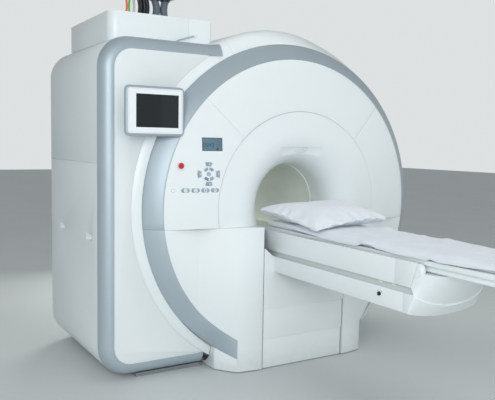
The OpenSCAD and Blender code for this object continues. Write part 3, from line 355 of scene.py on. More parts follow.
# Real flakes are 0.03 mm. They are drawn at 1.2 mm, so that the picture can hold them.
flakes = add(tree, "ShaderNodeTexVoronoi", Vector=where, Scale=1000 / 1.2)
cloudy = add(tree, "ShaderNodeTexNoise", Vector=where, Scale=1000 / 300, Detail=2.0)
spark = add(tree, "ShaderNodeMix", {"data_type": "RGBA"}, i0=0.5, i6=flakes.outputs["Color"],
            i7=cloudy.outputs["Color"])
level = add(tree, "ShaderNodeSeparateColor", Color=spark.outputs[2])
tone = add(tree, "ShaderNodeMix", {"data_type": "RGBA"}, i0=level.outputs["Red"], i6=linear("#AAB9C2"),
           i7=linear("#BECAD1"))
tree.links.new(tone.outputs[2], shader.inputs["Base Color"])
glint = add(tree, "ShaderNodeMapRange", Value=flakes.outputs["Distance"], To_Min=0.42, To_Max=0.54)
tree.links.new(glint.outputs["Result"], shader.inputs["Roughness"])

# %% [markdown]
# The other finishes share one recipe: two tones that drift into each other in patches of a real size. Some are drawn
# out along one axis, as turning, brushing or extrusion leaves them, and some have a grain of their own.

# %% Recipe of a mottled finish
def mottled(name, dark, light, patch_mm, detail=2.0, coarse=0.5, stretch=None, grain=None, shine=None, relief=None,
            **surface):
    """A finish whose colour drifts between two tones in patches of this many millimetres.

    stretch draws the patches out along an axis. grain is a second pattern, as (millimetres, detail). The grain, or
    else the patches, vary the roughness between the two values of shine, and make a bump with the strength and the
    depth in metres that relief gives.
    """
    made, tree, shader = finish_material(name, **surface)
    where = add(tree, "ShaderNodeTexCoord").outputs["Object"]
    if stretch:
        where = add(tree, "ShaderNodeMapping", Vector=where, Scale=stretch).outputs["Vector"]
    patches = add(tree, "ShaderNodeTexNoise", Vector=where, Scale=1000 / patch_mm, Detail=detail, Roughness=coarse)
    tone = add(tree, "ShaderNodeMix", {"data_type": "RGBA"}, i0=patches.outputs["Fac"], i6=linear(dark),
               i7=linear(light))
    tree.links.new(tone.outputs[2], shader.inputs["Base Color"])
    fine = add(tree, "ShaderNodeTexNoise", Vector=where, Scale=1000 / grain[0], Detail=grain[1]) if grain else patches
    if shine:
        level = add(tree, "ShaderNodeMapRange", Value=fine.outputs["Fac"], To_Min=shine[0], To_Max=shine[1])
        tree.links.new(level.outputs["Result"], shader.inputs["Roughness"])
    if relief:
        bump = add(tree, "ShaderNodeBump", Strength=relief[0], Distance=relief[1], Height=fine.outputs["Fac"])
        tree.links.new(bump.outputs["Normal"], shader.inputs["Normal"])
    return made


# %% Finishes of the cabinet, the tube, the table's frame and the inner parts
# Powder coat on sheet steel: duller than the lacquer, with a fine grain. The real grain is 0.3 mm, finer than the
# picture shows, so it is drawn at 1.6 mm.
sheet_coat = mottled("powder_coat_on_sheet_steel", "#DDE4E5", "#E5EBEC", 480, detail=3.0, coarse=0.55,
                     grain=(1.6, 2.0), shine=(0.45, 0.56), relief=(0.10, 0.0002), Roughness=0.5, IOR=1.5)
# Patient tube: through-coloured epoxy laminate, grey with a hint of green, slightly cloudy
tube_laminate = mottled("epoxy_laminate_liner", "#DDE2DC", "#E7EBE6", 90, detail=4.0, coarse=0.6, grain=(3, 2.0),
                        relief=(0.08, 0.0003), Roughness=0.42, IOR=1.52)
# Painted structural steel: a dull grey, with brushed-on streaks
frame_paint = mottled("machine_enamel_on_steel", "#6E7579", "#868D90", 14, detail=3.0, stretch=(1.0, 1.0, 0.12),
                      relief=(0.12, 0.0003), Roughness=0.55, IOR=1.5)
# Stainless steel vessels: turned and ground, with fine rings of scratches
vessel_steel = mottled("ground_stainless_steel", "#A4A8AB", "#C0C4C6", 2.5, detail=3.0, stretch=(1.0, 0.02, 1.0),
                       shine=(0.30, 0.50), Metallic=1.0, Roughness=0.4, Anisotropic=0.4)
# Anodised aluminium of the table's beam: drawn along its length
table_alloy = mottled("anodised_aluminium", "#B2B7BA", "#C9CDCF", 1.5, stretch=(1.0, 0.01, 1.0), Metallic=1.0,
                      Roughness=0.42)
# Cast resin of the gradient coil: amber brown, glossy and cloudy
coil_resin = mottled("cast_epoxy_resin", "#5E4A33", "#7D6748", 60, detail=5.0, Roughness=0.3, IOR=1.55)
# Frosted acrylic of the laser window: pale and faintly cloudy, with a small sharp highlight
window_acrylic = mottled("frosted_acrylic", "#E3E8E9", "#ECF0F1", 22, Roughness=0.16, IOR=1.49)
# Dark rubber and moulded nylon of the fittings, and the roller's tyre: black, dull and finely pored
fitting_nylon = mottled("moulded_black_nylon", "#23282C", "#343A3F", 1.8, detail=3.0, relief=(0.2, 0.0002),
                        Roughness=0.5, IOR=1.53)
print("finishes", len(bpy.data.materials))

# %% [markdown]
# The cables are extruded PVC with a dull skin, and the haul-off of the extruder leaves faint rings on it. Only the
# colour changes, so a short loop makes the five of them.

# %% Cable jackets and hoses
jackets = {}
for name, dark, light, rough in (
        ("orange", "#DB6238", "#E8764C", 0.42), ("green", "#6CA83C", "#82BC4E", 0.42),
        ("grey", "#B4BEB9", "#C6CFCA", 0.45), ("black", "#12161A", "#22272C", 0.38),
        ("hose", "#5F6B75", "#76838D", 0.5)):
    jackets[name] = mottled(f"extruded_pvc_{name}", dark, light, 6, detail=3.0, stretch=(0.3, 0.3, 1.0),
                            relief=(0.1, 0.0003), Roughness=rough, IOR=1.52)
for name in ("orange", "green", "grey"):
    wear(coloured[name + "_cable"], material=jackets[name])
wear(*strands, material=jackets["black"])
wear(*hoses, material=jackets["hose"])

# %% [markdown]
# ## Covers with eased edges
#
# The CAD solids have knife-sharp edges. No moulded or folded cover has them: a radius of a millimetre or two catches a
# thin line of light along every seam, and that line is what makes a seam read as a gap between two thick parts. Each
# visible solid is therefore copied, its triangles are joined back into faces, and its sharp edges get a small bevel.

# %% A dressed copy of a CAD node
def dressed(node, edge, material, segments=2):
    """Copies a node, joins its triangles, eases its sharp edges, and puts the copy in the node's place."""
    source = nodes[node]
    made = linked("cover_" + node, source.data.copy())
    pick(made)
    bpy.ops.mesh.customdata_custom_splitnormals_clear()
    open_mesh(made)
    bpy.ops.mesh.remove_doubles(threshold=2e-5)
    bpy.ops.mesh.dissolve_limited(angle_limit=math.radians(0.2))
    close_mesh()
    if edge:
        use(made, "BEVEL", width=edge, segments=segments, limit_method="ANGLE", angle_limit=math.radians(28),
            use_clamp_overlap=False, harden_normals=False)
    smooth(made, 32)
    wear(made, material=material)
    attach(made, source["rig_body"])
    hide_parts(node)
    return made


# %% Finishes and eased edges of all the hard parts
# The bevel is in millimetres. A node with None keeps its CAD body, or gets a form of its own further down.
hard_parts = {
    cover_white: {"lower_covers": 1.5, "skirts": 1.5, "rear_cover": 2.0, "apron_lower": 1.2, "apron_middle": 1.2,
                  "apron_upper": 1.2, "front_cover_top": 1.2, "front_cover_left": 0, "front_cover_right": 1.2,
                  "funnel_cover": None, "shell_top": 1.5, "shell_sides": 1.5, "table_fascias": None, "top_box": 1.5,
                  "tabletop": 2.0, "base_frame": None},
    sheet_coat: {"cabinet_front": 1.2, "cabinet_side_upper": 1.2, "cabinet_side_lower": 1.2, "cabinet_back": 1.2},
    ring_silver: {"front_ring": 2.0, "ring_ends": 1.5, "cabinet_trim": 0, "monitor_housing": None},
    tube_laminate: {"patient_tube": None, "bore_bridge": None},
    frame_paint: {"cabinet_frame": None, "lift_frame": None, "lift_cylinder": None},
    vessel_steel: {"vacuum_vessel": None, "helium_vessel": None},
    table_alloy: {"table_beam": None},
    coil_resin: {"gradient_coil": None},
    window_acrylic: {"laser_window": None},
    fitting_nylon: {"cable_fittings": None, "drive_roller": None, "key_tray": None, "release_knob": None},
}
covers = {}
for material, edges in hard_parts.items():
    for name, edge_mm in edges.items():
        wear(nodes[name], material=material)
        if edge_mm is not None:
            covers[name] = dressed(name, edge_mm / 1000, material)

# %% Plates of the apron
# The real plates reach further to the sides than the CAD ones. Only their ends are stretched, from 0.29 m outwards.
ends_from, ends_run = 0.29, 0.03
for name, half, wide in (("apron_upper", 0.334, 0.341), ("apron_middle", 0.330, 0.337), ("apron_lower", 0.326, 0.334)):
    for v in covers[name].data.vertices:
        v.co.x *= 1 + (wide / half - 1) * unit((abs(v.co.x) - ends_from) / ends_run)

# %% Shoulder of the shell behind the ring
# The CAD shoulder is a quarter round. The real one leans back more, so the ring hides it on the right and it shows
# only over the top. Angles are in degrees from the right, and the lean fades in and out over the angles named here.
axis, ring_edge, drop, round_r, lean = 1.09, 1.125, 0.085, 0.114, 1.8
lean_from, fade_in, lean_to, fade_out, shoulder_end = -38, 22, 104, 30, 0.32
for name in ("shell_top", "shell_sides"):
    for v in covers[name].data.vertices:
        dx, dz = v.co.x, v.co.z - axis
        r, turned = math.hypot(dx, dz), math.degrees(math.atan2(dz, dx))
        k = unit((turned - lean_from) / fade_in) * unit((lean_to - turned) / fade_out)
        out = min(max(0.0, r - ring_edge), round_r)
        if v.co.y < shoulder_end and k:
            cad_back = drop + round_r - math.sqrt(max(0.0, round_r ** 2 - out ** 2))
            v.co.y += k * max(0.0, drop + lean * out - cad_back)
    covers[name].data.update()
print("dressed", {name: len(made.data.polygons) for name, made in covers.items()})

# %% [markdown]
# ## Monitor
#
# The housing is a silver slab whose edge turns back in a quarter of an ellipse, much deeper than it is wide, so it
# mirrors the room above as a dark band and the window side as a bright one. A white bezel is set into its face, and
# the dark screen lies a millimetre behind the bezel.

# %% Finishes of the monitor, the display and the keys
# Moulded ABS of the bezel: white, dull and faintly textured
bezel_white, tree, shader = finish_material("textured_white_abs", "#EBF0F2", Roughness=0.42, IOR=1.48)
grain = add(tree, "ShaderNodeTexNoise", Vector=add(tree, "ShaderNodeTexCoord").outputs["Object"], Scale=1000 / 0.8)
bump = add(tree, "ShaderNodeBump", Strength=0.12, Distance=0.0001, Height=grain.outputs["Fac"])
tree.links.new(bump.outputs["Normal"], shader.inputs["Normal"])

# Switched-off panel behind anti-glare glass: nearly black, with a painted reflection that lightens it towards its
# right side, and a soft sheen
screen_glass, tree, shader = finish_material("anti_glare_screen_glass", Roughness=0.16, IOR=1.45)
place = add(tree, "ShaderNodeSeparateXYZ", Vector=add(tree, "ShaderNodeTexCoord").outputs["Object"])
# The ramp across x paints a reflection onto the dark glass
reflection_ramp = add(tree, "ShaderNodeMapRange", Value=place.outputs["X"], From_Min=-1.06, From_Max=-1.03)
shade = add(tree, "ShaderNodeMix", {"data_type": "RGBA"}, i0=reflection_ramp.outputs["Result"], i6=linear("#1B2023"),
            i7=linear("#23292C"))
tree.links.new(shade.outputs[2], shader.inputs["Base Color"])

# Reflective liquid crystal: a blue-grey mirror under glass, slightly cloudy. Its mask and its segments are dull inks.
lcd_glass = mottled("liquid_crystal_glass", "#587787", "#66838F", 45, Roughness=0.2, IOR=1.5)
lcd_frame = finish_material("printed_display_mask", "#3F5663", Roughness=0.35)[0]
lcd_ink = finish_material("dark_lcd_segments", "#231D3A", Roughness=0.4)[0]
lcd_faint = finish_material("idle_lcd_segments", "#3F5468", Roughness=0.4)[0]

# Silicone keys: matt and slightly rubbery, with a fine moulded grain that softens every highlight
key_rubber = mottled("silicone_key_rubber", "#90A1AC", "#9CABB5", 1.5, relief=(0.15, 0.0001), Roughness=0.55,
                     IOR=1.42)
key_dark = finish_material("darker_key_rubber", "#6F838E", Roughness=0.5, IOR=1.42)[0]
key_print = finish_material("white_screen_print", "#E9EFF1", Roughness=0.5)[0]
lamp_lens = finish_material("milky_lamp_lens", "#E6ECEF", Roughness=0.18, IOR=1.49, Coat_Weight=0.4)[0]

# Glossy red cap: the coat mirrors the softbox in one small spot on its rounded rim. The release knob is duller.
stop_red = finish_material("glossy_red_polycarbonate", "#C4222F", Roughness=0.28, IOR=1.55, Coat_Weight=0.5,
                           Coat_Roughness=0.1)[0]
knob_black = finish_material("black_glass_filled_nylon", "#17191B", Roughness=0.45, IOR=1.5)[0]


# %% A rounded plate that faces the front
upright = (math.pi / 2, 0, 0)


def plate(name, x, z, w, h, corner, back, steps, material):
    """A plate centred at x, z, whose back is at y = back. Each step insets its front face and brings it forward."""
    made = basic(bpy.ops.mesh.primitive_plane_add, name, (x, back, z), upright, (w, h, 1), size=1)
    open_mesh(made)
    if corner:
        bpy.ops.mesh.bevel(offset=corner, segments=8, affect="VERTICES")
    bpy.ops.mesh.select_all(action="SELECT")
    for k, (inset, rise) in enumerate(steps):
        if k:
            bpy.ops.mesh.inset(thickness=max(inset, 1e-6), depth=rise)
        else:
            bpy.ops.mesh.extrude_region_move(TRANSFORM_OT_translate={"value": (0, -rise, 0)})
    close_mesh()
    wear(made, material=material)
    return made


def cut(o, low, high):
    """Cuts a box out of an object."""
    tool = basic(bpy.ops.mesh.primitive_cube_add, "cutter", [(a + b) / 2 for a, b in zip(low, high)],
                 scale=[b - a for a, b in zip(low, high)], size=1)
    use(o, "BOOLEAN", operation="DIFFERENCE", solver="EXACT", object=tool)
    bpy.data.objects.remove(tool)


# %% Monitor housing, bezel and screen
low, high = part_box("monitor_housing")
x, z, w, h = (low.x + high.x) / 2, (low.z + high.z) / 2, high.x - low.x, high.z - low.z
turn = [math.radians(90 * k / 9) for k in range(10)]
edge_w, edge_d = 0.0155, 0.021
steps = [(0, 0.0008)] + [(edge_w * (math.cos(a) - math.cos(b)), edge_d * (math.sin(b) - math.sin(a)))
                         for a, b in zip(turn, turn[1:])]
housing = plate("monitor_housing_shell", x, z, w, h, 0.03, low.y + edge_d + 0.001, steps, ring_silver)
glass_low, glass_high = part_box("monitor_screen")
seat = 0.002
cut(housing, (glass_low.x - seat, low.y - 0.01, glass_low.z - seat),
    (glass_high.x + seat, low.y + 0.009, glass_high.z + seat))
smooth(housing, 40)
rim = 0.032
bezel = plate("monitor_bezel", x, z, w - rim, h - rim, 0.0145, low.y + 0.0012,
              [(0, 0.0006), (0.0009, 0.0006), (0.0052, 0), (0.0005, -0.0005), (0.0006, 0), (0.0005, 0.0005)],
              bezel_white)
cut(bezel, (glass_low.x, low.y - 0.01, glass_low.z), (glass_high.x, low.y + 0.01, glass_high.z))
smooth(bezel, 20)
block_w = w / 2 - 0.081
block = plate("monitor_rear_block", low.x + 0.056 + block_w / 2, z, block_w, h - 0.034, 0.02,
              high.y, [(0, high.y - low.y - 0.0225), (0.001, 0)], ring_silver)
smooth(block, 40)
screen = plate("monitor_glass", (glass_low.x + glass_high.x) / 2, (glass_low.z + glass_high.z) / 2,
               glass_high.x - glass_low.x - 0.0004, glass_high.z - glass_low.z - 0.0004, 0, glass_high.y,
               [(0, 0.0062), (0.0008, 0.0004)], screen_glass)
for piece in (housing, bezel, block):
    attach(piece, "gantry")
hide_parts("monitor_housing")
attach(screen, "gantry")
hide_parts("monitor_screen")
print("monitor", round(w * 1000), "by", round(h * 1000), "mm")

# %% [markdown]
# ## Display and keys
#
# Everything on this panel follows the domed cover. The pieces are made flat at y = 0 and then settled: every point
# moves back to the depth of the CAD surface behind it. The display shows four plain digits, a faint round gauge and
# one dark dot. The keys keep their CAD outlines with a soft edge, and their marks are thin prints.

# %% Settling flat pieces on the domed cover
surfaces = {}


def surface(node):
    """A search tree over a node's triangles."""
    if node not in surfaces:
        data = nodes[node].data
        surfaces[node] = BVHTree.FromPolygons([v.co for v in data.vertices], [p.vertices for p in data.polygons])
    return surfaces[node]


def settle(o, node, lift=0.0):
    """Moves a piece made flat at y = 0 back onto the front surface of a node, point by point."""
    tree, front = surface(node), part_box(node)[0].y
    for v in o.data.vertices:
        place = tree.ray_cast(Vector((v.co.x, -1, v.co.z)), Vector((0, 1, 0)))[0]
        if place is None:
            place = tree.find_nearest(Vector((v.co.x, front, v.co.z)))[0]
        v.co.y += place.y - lift
    return o


def flat(name, x, z, w, h, material, corner=0.0, thick=0.0003, turned=0.0, sides=0):
    """A thin flat mark at y = 0: a rounded bar, or a shape with this number of sides."""
    if sides:
        made = basic(bpy.ops.mesh.primitive_circle_add, name, turn=upright, scale=(w, h, 1), vertices=sides,
                     radius=0.5, fill_type="NGON")
    else:
        made = basic(bpy.ops.mesh.primitive_plane_add, name, turn=upright, scale=(w, h, 1), size=1)
    bake(made, (x, 0, z), (0, -turned, 0))
    open_mesh(made)
    if corner:
        bpy.ops.mesh.bevel(offset=corner, segments=4, affect="VERTICES")
        bpy.ops.mesh.select_all(action="SELECT")
    bpy.ops.mesh.extrude_region_move(TRANSFORM_OT_translate={"value": (0, -thick, 0)})
    close_mesh()
    face_out(made, 1e-7)
    wear(made, material=material)
    return made


def fan(name, x, z, r0, r1, a0, a1, thick, material, steps=8):
    """A sector of a flat ring around x, z, spun from its section."""
    made = basic(bpy.ops.mesh.primitive_plane_add, name, ((r0 + r1) / 2, -thick / 2, 0), scale=(r1 - r0, thick, 1),
                 size=1)
    bake(made, (x, 0, z), (0, -math.radians(a0), 0))
    open_mesh(made)
    bpy.ops.mesh.spin(steps=steps, angle=math.radians(a1 - a0), center=(x, 0, z), axis=(0, -1, 0))
    close_mesh()
    face_out(made, 1e-7)
    wear(made, material=material)
    return made


def join(name, *objects):
    """Joins pieces into one object."""
    pick(*objects)
    if len(objects) > 1:
        bpy.ops.object.join()
    objects[0].name = name
    return objects[0]


# %% Display
lcd_x, lcd_z, lcd_w, lcd_h = -0.695, 1.514, 0.138, 0.085
dressed("status_display", 0.0004, lcd_glass)
border = []
for sx, sz, w, h in ((0, 1, lcd_w, 0.0042), (0, -1, lcd_w, 0.0036), (-1, 0, 0.0036, lcd_h), (1, 0, 0.0036, lcd_h)):
    border.append(flat("lcd_mask", lcd_x + sx * (lcd_w - w) / 2, lcd_z + sz * (lcd_h - h) / 2, w, h, lcd_frame))
mask = settle(join("display_mask", *border), "status_display", 0.0002)
lit = {"0": "abcdef", "5": "acdfg", "4": "bcfg", "3": "abcdg"}
bars = {"a": (0, 1, 1), "b": (1, 0.5, 0), "c": (1, -0.5, 0), "d": (0, -1, 1), "e": (-1, -0.5, 0), "f": (-1, 0.5, 0),
        "g": (0, 0, 1)}
digit_x, digit_z, digit_pitch, half_w, half_h, bar = -0.7505, 1.5095, 0.0192, 0.0062, 0.0125, 0.0026
ink = []
for k, digit in enumerate("0543"):
    for key, (dx, dz, level) in bars.items():
        if key in lit[digit]:
            ink.append(flat("segment", digit_x + digit_pitch * k + dx * half_w, digit_z + dz * half_h,
                            0.0112 if level else bar, bar if level else 0.0106, lcd_ink, corner=0.0006))
gauge_x, gauge_z = -0.659, 1.5165
ink.append(flat("dot", gauge_x, 1.4855, 0.0125, 0.0125, lcd_ink, sides=24))
segments = settle(join("lcd_digits", *ink), "status_display", 0.0003)
faint = [fan("gauge", gauge_x, gauge_z, 0.0185, 0.0195, 0, 360, 0.0002, lcd_faint, steps=40)]
for dx, dz, w, h in ((-0.006, -0.002, 0.007, 0.0022), (0.004, -0.002, 0.006, 0.0022), (-0.001, -0.0075, 0.012, 0.0018),
                     (0.012, 0, 0.0016, 0.03)):
    faint.append(flat("mark", gauge_x + dx, gauge_z + dz, w, h, lcd_faint))
gauge = settle(join("lcd_gauge", *faint), "status_display", 0.0002)
for piece in (mask, segments, gauge):
    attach(piece, "gantry")

# %% Keys with a soft edge
keys = {name: dressed(name, 0.0009, key_rubber, segments=3) for name in
        ("centre_key", "ring_key", "arrow_key_right", "arrow_key_up", "arrow_key_left", "arrow_key_down",
         "oval_key_1", "oval_key_2", "oval_key_3", "oval_key_4")}
wear(keys["ring_key"], material=bezel_white)
dressed("stop_button", 0.0006, stop_red, segments=3)
dressed("release_knob", 0.0006, knob_black)
dressed("key_tray", 0.0004, bezel_white)

# %% Marks and fields on the keys
pad_x, pad_z, row_z = -0.722, 1.324, 1.220
field_in, field_out, half_field, field_thick = 0.0255, 0.0435, 24, 0.0012
icon_r, arrow_r = 0.0345, 0.0635


def mark(node, *pieces):
    """Settles marks on a key's face and lets them move with it."""
    made = settle(join("mark_" + node, *pieces), node)
    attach(made, nodes[node]["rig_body"])


fields = []
for centre, material in ((110, key_rubber), (50, bezel_white), (-10, key_rubber), (-70, key_dark),
                         (-130, bezel_white), (170, key_rubber)):
    field = fan("field", pad_x, pad_z, field_in, field_out, centre - half_field, centre + half_field, field_thick,
                material)
    rounded(field, 0.0005, 2)
    fields.append(field)
for centre in (50, -130):
    a = math.radians(centre)
    for d, tone, size in ((-0.003, key_dark, 0.008), (0.006, key_rubber, 0.007)):
        icon = flat("icon", pad_x + icon_r * math.cos(a) + d, pad_z + icon_r * math.sin(a) - d * 0.6, size,
                    size * 0.8, tone, corner=0.0015, thick=0.0004, turned=a)
        for v in icon.data.vertices:
            v.co.y -= field_thick
        fields.append(icon)
mark("ring_key", *fields)
for name, a in (("arrow_key_right", 0), ("arrow_key_up", 90), ("arrow_key_left", 180), ("arrow_key_down", 270)):
    turn = math.radians(a)
    x, z = pad_x + arrow_r * math.cos(turn), pad_z + arrow_r * math.sin(turn)
    mark(name, flat("head", x + 0.0045, z, 0.012, 0.011, key_print, turned=turn - math.pi / 2, sides=3),
         flat("block", x - 0.006, z - 0.001, 0.0065, 0.0075, key_dark, corner=0.001))
mark("centre_key", fan("ring", pad_x, pad_z, 0.0065, 0.0085, 0, 360, 0.0003, key_print, steps=24))
for k, x in enumerate((-0.877, -0.811, -0.746, -0.681)):
    middle = [flat("panel", x + 0.0015, row_z, 0.023 - 0.004 * (k // 2), 0.0235, key_print, corner=0.006)]
    if k < 2:
        middle.append(fan("disc", x + 0.003, row_z, 0.0055, 0.0078, 0, 360, 0.0006, key_rubber, steps=24))
    else:
        middle.append(flat("bar", x - 0.001, row_z, 0.0045, 0.016, key_dark, corner=0.001, thick=0.0006))
        middle.append(flat("bar", x + 0.0065, row_z, 0.003, 0.016, key_rubber, corner=0.001, thick=0.0006))
    mark(f"oval_key_{k + 1}", *middle)

# %% Lamp lens
lens_cap = basic(bpy.ops.mesh.primitive_uv_sphere_add, "lamp_lens", (-0.955, 0, row_z), scale=(1, 0.35, 1),
                 segments=32, ring_count=16, radius=0.0118)
bpy.ops.object.shade_smooth()
wear(lens_cap, material=lamp_lens)
settle(lens_cap, "status_display")
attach(lens_cap, "gantry")
print("keys", len(keys), "segments", len(ink))

# %% [markdown]
# ## Mattress, sheet and pillow
#
# The mattress is a thin foam pad in a coated cover with rounded edges. The sheet is laid over it and hangs down on
# both sides to the tabletop: its near hem waves along the edge and lifts in one fold, and its far side stands up in
# soft ridges. The pillow is blown up by the cloth solver from a flat cover, as a real one is filled, so its corners
# stay pointed and its sides pull in between them.

# %% Fabrics
# Coated fabric: a tight satin skin, a little softer than lacquer
vinyl = finish_material("coated_mattress_fabric", "#E2E7EA", Roughness=0.5, IOR=1.45)[0]

# Washed cotton: matt, slightly blue from the laundry, with a fine weave that only breaks up the light. The pillow's
# cover is the same cotton, ironed brighter. A real thread is 0.3 mm; the weave is drawn at 1.2 mm, so that it shows.
cottons = []
for name, dark, light, patch_mm, crease_mm, twist, depth in (
        ("washed_sheet_cotton", "#D8DEE6", "#E2E7EE", 130, 28, 0.6, 0.22),
        ("pillow_cover_cotton", "#DADFE6", "#E3E7EC", 150, 40, 0.8, 0.25)):
    cotton, tree, shader = finish_material(name, Roughness=0.85, Sheen_Weight=0.25, Sheen_Roughness=0.5)
    where = add(tree, "ShaderNodeTexCoord").outputs["Object"]
    worn = add(tree, "ShaderNodeTexNoise", Vector=where, Scale=1000 / patch_mm, Detail=3.0)
    tone = add(tree, "ShaderNodeMix", {"data_type": "RGBA"}, i0=worn.outputs["Fac"], i6=linear(dark), i7=linear(light))
    tree.links.new(tone.outputs[2], shader.inputs["Base Color"])
    crumple = add(tree, "ShaderNodeTexNoise", Vector=where, Scale=1000 / crease_mm, Detail=4.0, Roughness=0.55,
                  Distortion=twist)
    weave = add(tree, "ShaderNodeTexNoise", Vector=where, Scale=1000 / 1.2, Detail=1.0)
    soft = add(tree, "ShaderNodeBump", Strength=depth, Distance=0.004, Height=crumple.outputs["Fac"])
    fine = add(tree, "ShaderNodeBump", Strength=0.12, Distance=0.0003, Height=weave.outputs["Fac"],
               Normal=soft.outputs["Normal"])
    tree.links.new(fine.outputs["Normal"], shader.inputs["Normal"])
    cottons.append(cotton)
sheet_cotton, pillow_cotton = cottons


def between(points, t):
    """Smooth interpolation through (position, value) points in falling order of position."""
    if t >= points[0][0]:
        return points[0][1]
    for (a, u), (b, v) in zip(points, points[1:]):
        if t >= b:
            k = (t - a) / (b - a)
            return u + (v - u) * k * k * (3 - 2 * k)
    return points[-1][1]


# %% Mattress with rounded edges
low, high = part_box("mattress")
side_play = 0.03
mattress = basic(bpy.ops.mesh.primitive_cube_add, "mattress_pad",
                 ((low.x + high.x) / 2, (low.y + high.y) / 2, (low.z + high.z) / 2 - 0.0005),
                 scale=(high.x - low.x - side_play, high.y - low.y, high.z - low.z - 0.001), size=1)
use(mattress, "BEVEL", width=0.016, segments=5, limit_method="ANGLE", angle_limit=math.radians(30))
smooth(mattress, 50)
wear(mattress, material=vinyl)
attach(mattress, "tabletop")
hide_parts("mattress")

# %% Sheet laid over it
# Height of the near hem and lift of the far side along y, read off the photo
near_edge = [(-0.25, 0.982), (-0.283, 0.977), (-0.40, 0.966), (-0.51, 0.961), (-0.60, 0.951), (-0.77, 0.949),
             (-0.90, 0.952), (-0.985, 0.973), (-1.02, 0.976), (-1.09, 0.961), (-1.175, 0.957), (-1.25, 0.953),
             (-1.36, 0.955), (-1.44, 0.954), (-1.475, 0.964), (-1.52, 0.958), (-1.66, 0.962), (-1.855, 0.974),
             (-2.11, 0.965)]
far_lift = [(-0.50, 0.0), (-0.66, 0.003), (-0.724, 0.014), (-0.80, 0.003), (-0.90, 0.0), (-1.06, 0.002),
            (-1.15, 0.005), (-1.209, 0.013), (-1.27, 0.002), (-1.36, 0.001), (-1.43, 0.004), (-1.50, 0.0),
            (-1.75, 0.008), (-1.9, 0.0)]
start, stop, top_z = -0.262, -2.108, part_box("sheet")[1].z + 0.0005
columns, rows = 72, 240
flat_share, flat_half, fall_out = 0.80, 0.184, 0.046
cloth = basic(bpy.ops.mesh.primitive_grid_add, "sheet_cloth", x_subdivisions=columns, y_subdivisions=rows, size=2)
for v in cloth.data.vertices:
    u, t = v.co.x, (1 - v.co.y) / 2
    y = start + (stop - start) * t
    side, a = (-1 if u < 0 else 1), abs(u)
    end = between(near_edge, y) if side < 0 else 0.960 + 0.012 * noise.noise(Vector((3.1, y * 5, 0)))
    k = max(0.0, (a - flat_share) / (1 - flat_share))
    x = side * (flat_half * min(a, flat_share) / flat_share + fall_out * math.sin(math.radians(min(90, 96 * k))))
    z = top_z - (top_z - end) * (1 - math.cos(math.radians(90 * k))) ** 0.9
    fold = noise.noise(Vector((x * 4 + y * 1.3, y * 3.1 - x * 2, 0.3)))
    ridge = (1 - abs(noise.noise(Vector((x * 5 + y * 2.2, y * 4.5 - x * 3.5, 2.2))))) ** 5
    z += (1 - k) * (0.004 * max(0, fold) + 0.008 * ridge * min(1, (start - y) / 0.3)) * (1 - 0.7 * k)
    z += between(far_lift, y) * math.exp(-((x - 0.205) / 0.055) ** 2) * (1 if side > 0 else 0)
    tucked = (0.010 if side < 0 else 0) * math.exp(-((y + 1.0) / 0.035) ** 2)
    x += side * k * (0.003 * noise.noise(Vector((7.7, y * 9, 0))) + tucked)
    y += 0.006 * noise.noise(Vector((x * 9, t * 3, 5))) * (1 if t < 0.01 or t > 0.99 else 0)
    v.co = (x, y, z)
hem = linked("sheet_hem", cloth.data.copy())
edge, hem_columns = columns + 1, 4
keep = {i for i in range(len(hem.data.vertices)) if i % edge < hem_columns or i % edge >= edge - hem_columns}
tool = bmesh.new()
tool.from_mesh(hem.data)
tool.verts.ensure_lookup_table()
bmesh.ops.delete(tool, geom=[v for v in tool.verts if v.index not in keep], context="VERTS")
tool.to_mesh(hem.data)
tool.free()
use(cloth, "SOLIDIFY", thickness=0.0012, offset=-1)
use(hem, "SOLIDIFY", thickness=0.0045, offset=0.5)
use(hem, "BEVEL", width=0.0009, segments=2, limit_method="ANGLE", angle_limit=math.radians(50))
for piece in (cloth, hem):
    smooth(piece, 60)
    wear(piece, material=pillow_cotton if piece is hem else sheet_cotton)
    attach(piece, "tabletop")
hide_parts("sheet")

# %% Pillow
low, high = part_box("pillow")
w, l, t = high.x - low.x, high.y - low.y, high.z - low.z
slack = 1.06
pillow = basic(bpy.ops.mesh.primitive_cube_add, "pillow_cushion", scale=(w * slack, l * slack, 0.02), size=1)
open_mesh(pillow)
bpy.ops.mesh.subdivide(number_cuts=44)
close_mesh()
face_out(pillow)
for v in pillow.data.vertices:
    v.co.z += 0.002 * noise.noise(v.co * 14) * (1 if v.co.z > 0 else -1)
blown = pillow.modifiers.new("filling", "CLOTH")
s = blown.settings
s.quality, s.mass, s.use_pressure, s.uniform_pressure_force = 5, 0.25, True, 1.2
s.tension_stiffness = s.compression_stiffness = 12
s.shear_stiffness, s.bending_stiffness = 4, 0.6
s.effector_weights.gravity = 0
last_frame = 20
blown.point_cache.frame_start, blown.point_cache.frame_end = 1, last_frame
for frame_number in range(1, last_frame + 1):
    bpy.context.scene.frame_set(frame_number)
pick(pillow)
bpy.ops.object.modifier_apply(modifier=blown.name)
bpy.context.scene.frame_set(1)
xs, ys, zs = zip(*(v.co for v in pillow.data.vertices))
print("blown pillow", [round(max(c) - min(c), 3) for c in (xs, ys, zs)])
sx, sy, sz = ((size + play) / (max(c) - min(c)) for size, play, c in ((w, 0.018, xs), (l, 0.024, ys), (t, 0.008, zs)))
middle = Vector(((low.x + high.x) / 2, (low.y + high.y) / 2 - 0.006, 0))
ground, bore_r, spread_x, spread_y = low.z + 0.0006, 0.2885, 0.11, 0.17
